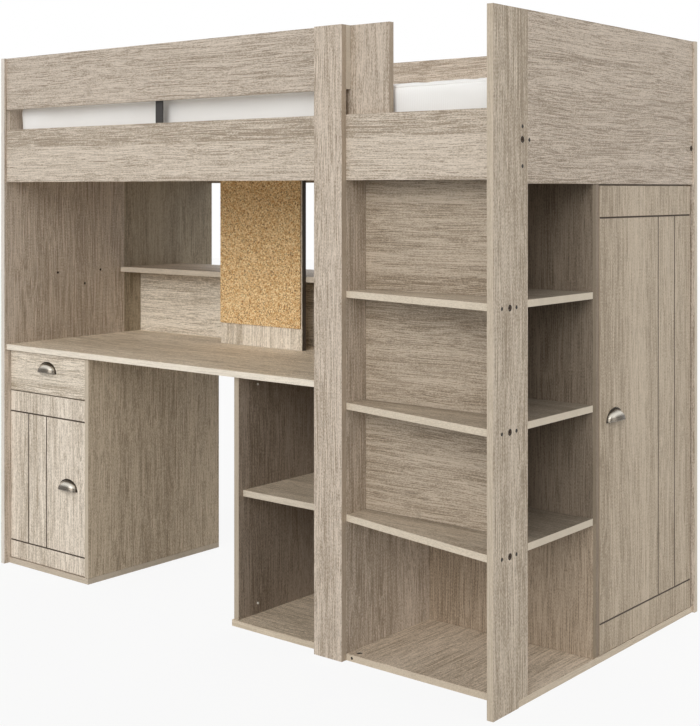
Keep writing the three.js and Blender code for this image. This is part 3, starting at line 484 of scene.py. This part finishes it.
MATTRESS_START_INSET = 0.007
MATTRESS_VOXEL = 0.018
MATTRESS_SWELL_CAP = 0.012
MATTRESS_KEEP_CLEAR = 0.0006
MATTRESS_CORNER = 0.025
SWELL_FRAMES = 20
QUILT_PITCH = 0.150
QUILT_DEPTH = 0.0055
QUILT_STITCH_WIDTH = 0.011
QUILT_MARGIN = 0.030
TAPE_RADIUS = 0.0036
TAPE_START_OUTSIDE = 0.02
TAPE_CORNER_STEPS = 8
TAPE_SIDE_STEPS = (40, 18)

low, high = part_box("mattress")
centre = (low + high) / 2
mattress = bpy.data.objects.new("mattress_cover", nodes["mattress"].data.copy())
bpy.context.scene.collection.objects.link(mattress)
half = (high - low) / 2
for vertex in mattress.data.vertices:
    for axis in range(3):
        shrink = 1 - MATTRESS_START_INSET / half[axis]
        vertex.co[axis] = centre[axis] + (vertex.co[axis] - centre[axis]) * shrink


def apply_modifiers(piece):
    """The piece's mesh becomes what its modifiers make of it."""
    bpy.context.view_layer.update()
    worked = piece.evaluated_get(bpy.context.evaluated_depsgraph_get())
    piece.data = bpy.data.meshes.new_from_object(worked)
    piece.modifiers.clear()


remesh = mattress.modifiers.new("even mesh", "REMESH")
remesh.mode = "VOXEL"
remesh.voxel_size = MATTRESS_VOXEL
apply_modifiers(mattress)
start = [vertex.co.copy() for vertex in mattress.data.vertices]
cloth = mattress.modifiers.new("cover under pressure", "CLOTH")
cloth.settings.quality = 5
cloth.settings.use_pressure = True
cloth.settings.uniform_pressure_force = 4
cloth.settings.effector_weights.gravity = 0
cloth.point_cache.frame_start = 1
cloth.point_cache.frame_end = SWELL_FRAMES
for frame_number in range(1, SWELL_FRAMES + 1):
    bpy.context.scene.frame_set(frame_number)
apply_modifiers(mattress)
bpy.context.scene.frame_set(1)
for vertex, before in zip(mattress.data.vertices, start):
    move = vertex.co - before
    if move.length > MATTRESS_SWELL_CAP:
        vertex.co = before + move * (MATTRESS_SWELL_CAP / move.length)
for axis in range(3):
    bottom, top = low[axis] + MATTRESS_KEEP_CLEAR, high[axis] - MATTRESS_KEEP_CLEAR
    reached = [vertex.co[axis] for vertex in mattress.data.vertices]
    stretch = (top - bottom) / (max(reached) - min(reached))
    for vertex, place_before in zip(mattress.data.vertices, reached):
        vertex.co[axis] = bottom + (place_before - min(reached)) * stretch
finer = mattress.modifiers.new("finer mesh", "SUBSURF")
finer.levels = finer.render_levels = 1
apply_modifiers(mattress)

cover_surface = BVHTree.FromPolygons(
    [vertex.co for vertex in mattress.data.vertices],
    [polygon.vertices for polygon in mattress.data.polygons])


def tape_path(height_side):
    """Points round the rounded rectangle where a panel meets the mattress's side: each corner's arc
    and then the straight side after it, drawn just outside and moved onto the cover."""
    outer_corner = MATTRESS_CORNER + TAPE_START_OUTSIDE
    height = centre.z + height_side * (half.z + TAPE_START_OUTSIDE)

    def on_arc(corner, turned):
        side_x, side_y = [(1, 1), (-1, 1), (-1, -1), (1, -1)][corner % 4]
        middle = Vector((centre.x + side_x * (half.x - MATTRESS_CORNER),
                         centre.y + side_y * (half.y - MATTRESS_CORNER), height))
        angle = (corner + turned) * math.pi / 2
        return middle + outer_corner * Vector((math.cos(angle), math.sin(angle), 0))

    path = []
    for corner in range(4):
        path += [on_arc(corner, step / TAPE_CORNER_STEPS) for step in range(TAPE_CORNER_STEPS + 1)]
        begin, finish, steps = path[-1], on_arc(corner + 1, 0), TAPE_SIDE_STEPS[corner % 2]
        path += [begin.lerp(finish, step / steps) for step in range(1, steps)]
    return [cover_surface.find_nearest(point)[0] for point in path]


def tube(name, points, radius, sides, closed, material):
    """A round cord of even thickness along the points."""
    mesh = bpy.data.meshes.new(name)
    made = bmesh.new()
    count = len(points)
    loops = []
    for index, point in enumerate(points):
        before = points[index - 1] if closed or index else points[0]
        after = points[(index + 1) % count] if closed or index < count - 1 else points[-1]
        ahead = (after - before).normalized()
        side = ahead.cross(Vector((0, 0, 1)))
        if side.length < 0.001:
            side = Vector((1, 0, 0))
        side.normalize()
        up = side.cross(ahead)
        loops.append([made.verts.new(point + radius * (side * math.cos(2 * math.pi * turn / sides)
                                                       + up * math.sin(2 * math.pi * turn / sides)))
                      for turn in range(sides)])
    pairs = list(zip(loops, loops[1:])) + ([(loops[-1], loops[0])] if closed else [])
    for first, second in pairs:
        for turn in range(sides):
            after = (turn + 1) % sides
            made.faces.new((first[turn], first[after], second[after], second[turn]))
    if not closed:
        made.faces.new(reversed(loops[0]))
        made.faces.new(loops[-1])
    bmesh.ops.recalc_face_normals(made, faces=made.faces[:])
    made.to_mesh(mesh)
    made.free()
    mesh.materials.append(material)
    for polygon in mesh.polygons:
        polygon.use_smooth = True
    return mesh


for place_name, height_side in (("top", 1), ("bottom", -1)):
    tape = tube(f"mattress_tape_{place_name}", tape_path(height_side), TAPE_RADIUS, 10, True, ticking)
    put(f"mattress_tape_{place_name}", tape, (0, 0, 0), "frame")

for vertex in mattress.data.vertices:
    away_from_edge = min(half.x - abs(vertex.co.x - centre.x), half.y - abs(vertex.co.y - centre.y))
    panel = min(max((away_from_edge - QUILT_MARGIN) / QUILT_MARGIN, 0), 1)
    if panel == 0 or vertex.co.z < centre.z:
        continue
    lines = [(vertex.co.x - centre.x + sign * (vertex.co.y - centre.y)) / QUILT_PITCH for sign in (1, -1)]
    gaps = [abs(line - round(line)) * QUILT_PITCH / math.sqrt(2) for line in lines]
    dent = max(math.exp(-(gap / QUILT_STITCH_WIDTH) ** 2) for gap in gaps)
    vertex.co.z -= QUILT_DEPTH * dent * panel
mattress.data.materials.clear()
mattress.data.materials.append(ticking)
for polygon in mattress.data.polygons:
    polygon.use_smooth = True
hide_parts("mattress")
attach(mattress, "frame")


# Tower's base and upright melamine boards: the wall beside the steps in two pieces, the two sides
# between end shelves and wardrobe, and the wardrobe's rear and top. A dark oxidised cam pulls the
# wall against the base, and a dark plug closes the dowel hole in the base's front edge.
face_board("tower_base_board", "y", "z", "c8b7a2", "c8baa5")
for name, grain, thickness, face, band, phase in (
        ("ladder_left_wall", "z", "x", "b6a796", "b0a18e", 0.15),
        # Painted shade: the left side's face and edge band and the side board's edge band are given dark
        # colours
        ("wardrobe_left_side", "z", "x", "6a5d51", "8f7e6b", 0.45),
        ("wardrobe_side_board", "z", "y", "a39382", "6c5c4a", 0.61),
        ("wardrobe_rear_board", "z", "y", "b3a492", "b0a18e", 0.93),
        ("wardrobe_top_board", "x", "z", "b3a492", "b0a18e", 0.39)):
    face_board(name, grain, thickness, face, band, phase)
# Painted shade in the end niche: the side board's face and edge band are given darker colours, and above
# the lowest shelf its print is darkened further
NICHE_SHADE_EDGE = 0.002
lowest_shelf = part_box("step_shelf_lower")[0].z
face_board("bookcase_side_board", "z", "y", "9a8975", "77674f", 15.4113,
           darker=("Z", lowest_shelf, lowest_shelf + NICHE_SHADE_EDGE, 0.52))

CAM_INSET_X = 0.024
CAM_INSET_Y = 0.026
BASE_PLUG_INSET = 0.0185
cam_rings = [(0.0084, -0.0090, 0, 0), (0.0087, -0.0080, 0, 0), (0.0087, -0.0022, 0, 0),
             (0.0080, -0.0016, 0, 0), (0.0034, -0.0016, 0, 0), (0.0030, -0.0020, 1, 0),
             (0.0028, -0.0045, 1, 0)]
cam_lock = lathe("cam_lock", cam_rings, 32, [black_rim])
low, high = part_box("tower_base_board")
spot = (low.x + CAM_INSET_X, low.y + CAM_INSET_Y, high.z)
put("base_cam_lock", cam_lock, spot, "frame", (0, -math.pi / 2, 0))
base_plug_rings = [(0.0036, -0.0050, 0, 0), (0.0039, -0.0040, 0, 0), (0.0039, -0.0008, 0, 0),
                   (0.0030, -0.0004, 0, 0)]
base_plug = lathe("base_plug", base_plug_rings, 24, [plug_plastic])
spot = (low.x + BASE_PLUG_INSET, low.y, (low.z + high.z) / 2)
put("base_dowel_plug", base_plug, spot, "frame", (0, 0, -math.pi / 2))


# Steps and end shelves. Each is one melamine board, a step at the front and a shelf at the right
# end. Painted shade darkens each from the back panel's line on, where the end niche begins. That
# panel and the wall behind the end shelves close the tower's middle.
SHELF_SHADE_BEGINS = -0.045
SHELF_SHADE_FULL = 0.03
PIN_INSET = 0.042
PIN_DROP = 0.0030
niche_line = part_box("ladder_back_panel")[0].y
for name, phase in (("step_shelf_lower", 0.0), ("step_shelf_middle", 0.33), ("step_shelf_upper", 0.71)):
    face_board(name, "x", "z", "b6a793", "e0d3be", phase,
               darker=("Y", niche_line + SHELF_SHADE_BEGINS, niche_line + SHELF_SHADE_FULL, 0.5))
# A dark plastic pin in the side board holds the upper end shelf at its rear corner
pin_rings = [(0.0024, -0.0040, 0, 0), (0.0026, -0.0030, 0, 0), (0.0026, 0.0078, 0, 0),
             (0.0020, 0.0084, 0, 0)]
shelf_pin = lathe("shelf_pin", pin_rings, 20, [plug_plastic])
spot = (end_face - PIN_INSET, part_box("bookcase_side_board")[0].y,
        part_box("step_shelf_upper")[0].z - PIN_DROP)
put("upper_shelf_pin", shelf_pin, spot, "frame", (0, 0, -math.pi / 2))
# The back panel and the wall behind the end shelves are given darker faces and edge bands: painted shade in
# the bays and the niche.
face_board("ladder_back_panel", "x", "y", "a59683", "94836f", 0.19)
face_board("end_back_wall", "z", "x", "85766a", "94836f", 0.55)


# Clothes rail. A drawn steel tube across the wardrobe, with a round pressed flange at each end that
# holds it to the boards. Both are zinc plated.

# Bright zinc plate: bluish bright steel with soft cloudy patches
zinc_plate = mottled_finish("steel, bright zinc plate", 0.006, 2.0, "a4a7aa", "c6c8ca", (0.26, 0.42), 1.0)
give("hanging_rail", zinc_plate)


# Desk. A deep melamine top between the left end and the tower, its upright back panel, and the
# raised shelf behind it, all with the grain along the desk.
face_board("desk_top", "x", "z", "dccdb7", "e4dbcc", 0.05)
face_board("desk_back_panel", "x", "y", "d0c4b2", "c2b5a2", 0.65)
face_board("rear_shelf", "x", "z", "b6a796", "dacebb", 0.35)


# Cork board. An upright melamine board stands on the desk, with a sheet of granulated cork glued
# to its front. Its edges are coloured near-black all round: painted shade.
face_board("cork_backing_board", "z", "y", "d3c7b5", "40352b", 0.85, band_cover=1.0)

# Cork, granulated and pressed: granules about 3 mm across, some toasted dark, matt, a little crumbly
CORK_GRANULE = 0.0032
CORK_SPECK = 0.0030
cork, tree = new_material("cork, granulated and pressed")
place = add_node(tree, "TexCoord", {}, {})
granules = add_node(tree, "TexVoronoi", {}, {"Vector": place.outputs["Object"], "Scale": 1 / CORK_GRANULE})
specks = add_node(tree, "TexVoronoi", {}, {"Vector": place.outputs["Object"], "Scale": 1 / CORK_SPECK})
toast = add_node(tree, "SeparateColor", {}, {0: granules.outputs["Color"]})
granule_colour = add_node(tree, "Mix", {"data_type": "RGBA"}, {
    0: toast.outputs[0], 6: linear("c08847"), 7: linear("ffe8b6")})
speck = add_node(tree, "SeparateColor", {}, {0: specks.outputs["Color"]})
speck_share = add_node(tree, "MapRange", {}, {0: speck.outputs[1], 1: 0.85, 2: 0.88, 3: 0.0, 4: 0.9})
speckled = add_node(tree, "Mix", {"data_type": "RGBA"}, {
    0: speck_share.outputs[0], 6: granule_colour.outputs[2], 7: linear("6b421e")})
crumble = add_node(tree, "Bump", {}, {
    "Strength": 0.6, "Distance": 0.0008, "Height": granules.outputs["Distance"]})
surface = add_node(tree, "BsdfPrincipled", {}, {
    "Base Color": speckled.outputs[2], "Roughness": 0.95, "Normal": crumble.outputs[0]})
add_node(tree, "OutputMaterial", {}, {"Surface": surface.outputs[0]})
give("cork_sheet", cork)


# Open bookcase under the desk: base, left side, back and one shelf of melamine, closed on the right
# by the tower's wall. White plastic caps close a fitting near the left side's top and foot.
# Painted shade under the desk: the left side and the back are given darker faces, and the back a darker
# edge band.
for name, grain, thickness, face, band, phase in (
        ("bookcase_base", "x", "z", "d2c1aa", "c8baa5", 0.25),
        ("bookcase_left_side", "z", "x", "8f8070", "b9ab97", 0.75),
        ("bookcase_back_panel", "z", "y", "85766a", "94836f", 0.41),
        ("bookcase_shelf", "x", "z", "c4b49e", "cdc2b0", 0.87)):
    face_board(name, grain, thickness, face, band, phase)

# White polyethylene cap: moulded, satin
CAP_SETBACK = 0.079
CAP_FROM_END = 0.030
cap_plastic = mottled_finish("white polyethylene, moulded", 0.003, 1.0, "cfcac0", "e2ded5", 0.45)
cap_rings = [(0.0030, 0.0, 0, 0), (0.0036, 0.0004, 0, 0), (0.0036, 0.0022, 0, 0),
             (0.0028, 0.0030, 0, 0)]
peg_cap = lathe("peg_cap", cap_rings, 24, [cap_plastic])
low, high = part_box("bookcase_left_side")
for place_name, height in (("upper", high.z - CAP_FROM_END), ("lower", low.z + CAP_FROM_END)):
    put(f"bookcase_peg_{place_name}", peg_cap, (high.x, low.y + CAP_SETBACK, height), "frame")


# Pedestal under the desk's left end, of the same melamine: base, right side, back and the board
# between drawer and cupboard. The bed's left end is its left side.
# The divider's edge band is dark brown: painted shade in the gap between drawer and door.
for name, grain, thickness, face, band, phase in (
        ("pedestal_base", "x", "z", "b6a796", "c2b5a2", 0.95),
        ("pedestal_right_side", "z", "x", "b09f88", "c2b5a2", 2.7755),
        ("pedestal_back_panel", "z", "y", "b3a492", "b0a18e", 0.29),
        ("pedestal_divider", "x", "z", "b3a492", "5a4c3f", 0.69)):
    face_board(name, grain, thickness, face, band, phase)


# Doors. Two melamine doors milled with grooves as if planked: a groove across near the top and
# the bottom, and two upright ones between them. They hang on concealed hinges.
# The grooves' sloping faces are coloured dark brown: painted shade.
give("pedestal_door", oak_melamine("pedestal_door", "z", "y", "ccbfae", "c9bdaa", 0.03, grooved=True))
give("wardrobe_door", oak_melamine("wardrobe_door", "z", "x", "ab9b86", "ad9d88", 0.43, grooved=True))
for door in ("pedestal", "wardrobe"):
    for height in ("lower", "upper"):
        give(f"{door}_hinge_cup_{height}", zinc_plate)
        give(f"{door}_hinge_arm_{height}", zinc_plate)

# Each hinge cup is screwed to the door through its two ears, and each arm's plate to the carcass
HINGE_SCREW_SPREAD = 0.023
PLATE_SCREW_SPREAD = 0.018
PLATE_SCREW_SETBACK = 0.031
PLATE_THICKNESS = 0.003
hinge_screw = lathe("hinge_screw", screw_rings, 24, [zinc_plate])
for height in ("lower", "upper"):
    for place_name, side in (("above", 1), ("below", -1)):
        low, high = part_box(f"pedestal_hinge_cup_{height}")
        middle = (low + high) / 2
        spot = (middle.x, high.y, middle.z + side * HINGE_SCREW_SPREAD)
        put(f"pedestal_cup_screw_{height}_{place_name}", hinge_screw, spot, "pedestal_door",
            (0, 0, math.pi / 2))
        low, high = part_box(f"wardrobe_hinge_cup_{height}")
        middle = (low + high) / 2
        spot = (low.x, middle.y, middle.z + side * HINGE_SCREW_SPREAD)
        put(f"wardrobe_cup_screw_{height}_{place_name}", hinge_screw, spot, "wardrobe_door",
            (0, 0, math.pi))
        low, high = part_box(f"pedestal_hinge_arm_{height}")
        middle = (low + high) / 2
        spot = (low.x + PLATE_THICKNESS, low.y + PLATE_SCREW_SETBACK,
                middle.z + side * PLATE_SCREW_SPREAD)
        put(f"pedestal_plate_screw_{height}_{place_name}", hinge_screw, spot, "frame")
        low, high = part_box(f"wardrobe_hinge_arm_{height}")
        middle = (low + high) / 2
        spot = (high.x - PLATE_SCREW_SETBACK, high.y - PLATE_THICKNESS,
                middle.z + side * PLATE_SCREW_SPREAD)
        put(f"wardrobe_plate_screw_{height}_{place_name}", hinge_screw, spot, "frame",
            (0, 0, -math.pi / 2))


# Drawer. A melamine front with lengthwise grain, a birch ply box, and a plain steel channel on
# each side of the pedestal for it to run in.
face_board("drawer_front", "x", "y", "cbbeac", "c9bdaa", 4.738)
PLY_LINE_WIDTH = 0.005
give("drawer_box", planed_wood("birch ply, sanded", "x", "e0d4bf", "cdbb9c", PLY_LINE_WIDTH))
for name in ("drawer_runner_left", "drawer_runner_right"):
    give(name, zinc_plate)


# Cup pulls on the drawer and both doors: a pressed half-moon hood on a thin rim, open below for
# the fingers, its lip rolled. Antiqued nickel plate on steel, screwed on from behind.

# Antiqued nickel: brown-grey patina, with a painted reflection: a bright band where the hood's
# shoulder faces half upward, with brush lines 0.4 mm apart along it
BRUSH_LINE_LENGTH = 1 / 60
BRUSH_LINE_PITCH = 0.0004
SHOULDER_FACING = 0.60
nickel, tree = new_material("steel, antiqued nickel plate")
place = add_node(tree, "TexCoord", {}, {})
brush_scale = (1 / BRUSH_LINE_LENGTH, 1 / BRUSH_LINE_LENGTH, 1 / BRUSH_LINE_PITCH)
brush_map = add_node(tree, "Mapping", {}, {"Vector": place.outputs["Object"], "Scale": brush_scale})
brushing = add_node(tree, "TexNoise", {}, {
    "Vector": brush_map.outputs["Vector"], "Scale": 1.0, "Detail": 2.0})
facing = add_node(tree, "SeparateXYZ", {}, {"Vector": place.outputs["Normal"]})
off_shoulder = add_node(tree, "Math", {"operation": "SUBTRACT"},
                        {0: facing.outputs["Z"], 1: SHOULDER_FACING})
off_shoulder = add_node(tree, "Math", {"operation": "ABSOLUTE"}, {0: off_shoulder.outputs[0]})
# Painted reflection: bright where the normal faces half upward
on_shoulder = add_node(tree, "MapRange", {}, {
    0: off_shoulder.outputs[0], 1: 0.06, 2: 0.24, 3: 0.85, 4: 0.0})
brushing_and_reflection = add_node(tree, "Math", {"operation": "MULTIPLY_ADD"},
                  {0: brushing.outputs["Fac"], 1: 0.2, 2: on_shoulder.outputs[0]})
nickel_colour = add_node(tree, "Mix", {"data_type": "RGBA"}, {
    0: brushing_and_reflection.outputs[0], 6: linear("4c443b"), 7: linear("d6d0c4")})
nickel_gloss = add_node(tree, "MapRange", {}, {
    0: brushing.outputs["Fac"], 1: 0.3, 2: 0.7, 3: 0.2, 4: 0.36})
surface = add_node(tree, "BsdfPrincipled", {}, {
    "Base Color": nickel_colour.outputs[2], "Metallic": 1.0, "Roughness": nickel_gloss.outputs[0]})
add_node(tree, "OutputMaterial", {}, {"Surface": surface.outputs[0]})

# The same nickel on the flat rim, dark brown-grey: a painted dark reflection round the hood
dark_nickel = mottled_finish("nickel plate, darkened", 0.004, 2.0, "2f2a24", "544c43", 0.42, 0.9)

PULL_HALF_WIDTH = 0.043
PULL_HEIGHT = 0.034
PULL_REACH = 0.025
PULL_LIP_RISE = 0.005
PULL_WALL = 0.0016
PULL_RIM = 0.0038
PULL_RIM_THICKNESS = 0.0014
PULL_RIM_UNDERLAP = 0.0010
PULL_RIM_BEVEL = 0.0008
PULL_LIP_RADIUS = 0.0011
PULL_LIP_WIDTH_SHARE = 0.985
PULL_TURNS = 40
PULL_LIFTS = 14
mouth_angle = math.atan2(PULL_HEIGHT, PULL_LIP_RISE)


def pull_hood(made):
    """The hood: a quarter of an egg, its outer and inner skin joined at the rim and at the mouth."""
    skins = []
    for inset in (0, PULL_WALL):
        skin = []
        for turn in range(PULL_TURNS + 1):
            around = math.pi * turn / PULL_TURNS
            row = []
            for lift in range(PULL_LIFTS + 1):
                down = mouth_angle * lift / PULL_LIFTS
                row.append(made.verts.new((
                    (PULL_HALF_WIDTH - inset) * math.cos(around),
                    -(PULL_REACH - PULL_LIP_RADIUS - inset) * math.sin(around) * math.sin(down),
                    (PULL_HEIGHT - inset) * math.sin(around) * math.cos(down))))
            skin.append(row)
        skins.append(skin)
    outer, inner = skins
    for turn in range(PULL_TURNS):
        for lift in range(PULL_LIFTS):
            made.faces.new((outer[turn][lift], outer[turn][lift + 1],
                            outer[turn + 1][lift + 1], outer[turn + 1][lift]))
            made.faces.new((inner[turn][lift], inner[turn + 1][lift],
                            inner[turn + 1][lift + 1], inner[turn][lift + 1]))
        for lift in (0, PULL_LIFTS):
            made.faces.new((outer[turn][lift], outer[turn + 1][lift],
                            inner[turn + 1][lift], inner[turn][lift]))


def pull_rim(made):
    """The flat half-oval rim that lies on the door, with a softened outer edge."""
    section = [(-PULL_RIM_UNDERLAP, 0.0), (PULL_RIM, 0.0), (PULL_RIM, -PULL_RIM_THICKNESS / 2),
               (PULL_RIM - PULL_RIM_BEVEL, -PULL_RIM_THICKNESS),
               (-PULL_RIM_UNDERLAP, -PULL_RIM_THICKNESS)]
    rows = []
    for turn in range(PULL_TURNS + 1):
        around = math.pi * turn / PULL_TURNS
        rows.append([made.verts.new(((PULL_HALF_WIDTH + out) * math.cos(around), level,
                                     (PULL_HEIGHT + out) * math.sin(around))) for out, level in section])
    for first, second in zip(rows, rows[1:]):
        for corner in range(len(section)):
            after = (corner + 1) % len(section)
            made.faces.new((first[corner], first[after], second[after], second[corner])).material_index = 1
    for end in (rows[0], reversed(rows[-1])):
        made.faces.new(end).material_index = 1


made = bmesh.new()
pull_hood(made)
bmesh.ops.remove_doubles(made, verts=made.verts[:], dist=0.00002)
pull_rim(made)
lip_reach = (PULL_REACH - PULL_LIP_RADIUS) * math.sin(mouth_angle)
lip_rise = PULL_HEIGHT * math.cos(mouth_angle)
lip_points = []
for turn in range(PULL_TURNS + 1):
    around = math.pi * turn / PULL_TURNS
    lip_points.append(Vector((PULL_LIP_WIDTH_SHARE * PULL_HALF_WIDTH * math.cos(around),
                              -lip_reach * math.sin(around),
                              PULL_LIP_RADIUS + lip_rise * math.sin(around))))
made.from_mesh(tube("pull_lip", lip_points, PULL_LIP_RADIUS, 10, False, nickel))
bmesh.ops.recalc_face_normals(made, faces=made.faces[:])
pull_mesh = bpy.data.meshes.new("cup_pull")
made.to_mesh(pull_mesh)
made.free()
pull_mesh.materials.append(nickel)
pull_mesh.materials.append(dark_nickel)
for polygon in pull_mesh.polygons:
    polygon.use_smooth = True

for name, body in (("drawer_pull", "drawer"), ("pedestal_door_pull", "pedestal_door"),
                   ("wardrobe_door_pull", "wardrobe_door")):
    low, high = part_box(name)
    turned = name.startswith("wardrobe")
    spot = (low.x, (low.y + high.y) / 2, low.z) if turned else ((low.x + high.x) / 2, high.y, low.z)
    pull = put(f"{name}_pressed", pull_mesh, spot, body, (0, 0, math.pi / 2 if turned else 0))
    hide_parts(name)


# The room. A plain floor, painted pale and matt, which keeps the bed's shadow, and no walls. The
# camera and bright metal see white all round.
FLOOR_HALF_SIZE = 15
FLOOR_DROP = 0.0008
SCUFF_WIDTH = 0.5
floor_paint, tree = new_material("pale studio floor")
place = add_node(tree, "TexCoord", {}, {})
scuff = add_node(tree, "TexNoise", {}, {
    "Vector": place.outputs["Object"], "Scale": 1 / SCUFF_WIDTH, "Detail": 2.0})
floor_colour = add_node(tree, "Mix", {"data_type": "RGBA"}, {
    0: scuff.outputs["Fac"], 6: linear("d2d2d0"), 7: linear("d8d8d6")})
matt_floor = add_node(tree, "BsdfPrincipled", {}, {
    "Base Color": floor_colour.outputs[2], "Roughness": 0.9})
glow = add_node(tree, "Emission", {}, {"Color": (1, 1, 1, 1), "Strength": 1.0})
ray = add_node(tree, "LightPath", {}, {})
seen = add_node(tree, "Math", {"operation": "MULTIPLY"}, {0: ray.outputs["Is Camera Ray"], 1: 0.90})
floor_mix = add_node(tree, "MixShader", {}, {
    0: seen.outputs[0], 1: matt_floor.outputs[0], 2: glow.outputs[0]})
add_node(tree, "OutputMaterial", {}, {"Surface": floor_mix.outputs[0]})
floor_mesh = bpy.data.meshes.new("studio_floor")
floor_corners = [(side_x * FLOOR_HALF_SIZE, side_y * FLOOR_HALF_SIZE, 0)
                 for side_x, side_y in ((-1, -1), (1, -1), (1, 1), (-1, 1))]
floor_mesh.from_pydata(floor_corners, [], [(0, 1, 2, 3)])
floor_mesh.materials.append(floor_paint)
floor = bpy.data.objects.new("studio_floor", floor_mesh)
floor.location.z = -FLOOR_DROP
bpy.context.scene.collection.objects.link(floor)

world = bpy.data.worlds.new("white studio")
bpy.context.scene.world = world
world.use_nodes = True
tree = world.node_tree
tree.nodes.clear()
ray = add_node(tree, "LightPath", {}, {})
direct = add_node(tree, "Math", {"operation": "MAXIMUM"},
                  {0: ray.outputs["Is Camera Ray"], 1: ray.outputs["Is Transmission Ray"]})
shown = add_node(tree, "Math", {"operation": "MAXIMUM"},
                 {0: direct.outputs[0], 1: ray.outputs["Is Glossy Ray"]})
fill = add_node(tree, "Background", {}, {"Color": (1, 1, 1, 1), "Strength": 0.42})
white = add_node(tree, "Background", {}, {"Color": (1, 1, 1, 1), "Strength": 1.0})
sky = add_node(tree, "MixShader", {}, {0: shown.outputs[0], 1: fill.outputs[0], 2: white.outputs[0]})
add_node(tree, "OutputWorld", {}, {"Surface": sky.outputs[0]})

# Soft lamps: a key from the front at a low height, a fill from the right and one from behind
for name, azimuth, elevation, strength, softness in (
        ("key_light", 18, 25, 1.75, 42),
        ("right_light", 88, 20, 0.6, 40),
        ("rear_light", 200, 40, 0.8, 40)):
    lamp = bpy.data.lights.new(name, "SUN")
    lamp.energy = strength
    lamp.angle = math.radians(softness)
    lamp_object = bpy.data.objects.new(name, lamp)
    turn, tilt = math.radians(azimuth), math.radians(elevation)
    towards = Vector((math.sin(turn) * math.cos(tilt), -math.cos(turn) * math.cos(tilt), math.sin(tilt)))
    lamp_object.rotation_euler = towards.to_track_quat("Z", "Y").to_euler()
    bpy.context.scene.collection.objects.link(lamp_object)

# The camera stands where the photo's was, as fitted to the board edges in it
camera = bpy.data.cameras.new("photo_camera")
camera.sensor_width = 36
camera.lens = 66.87
camera.shift_x = -0.0246
camera.shift_y = -0.2389
camera_object = bpy.data.objects.new("photo_camera", camera)
camera_object.location = (2.78755, -3.2053, 1.2589)
camera_object.rotation_euler = (math.pi / 2, 0, math.radians(38.98))
bpy.context.scene.collection.objects.link(camera_object)
bpy.context.scene.camera = camera_object
bpy.context.scene.view_settings.view_transform = "Standard"
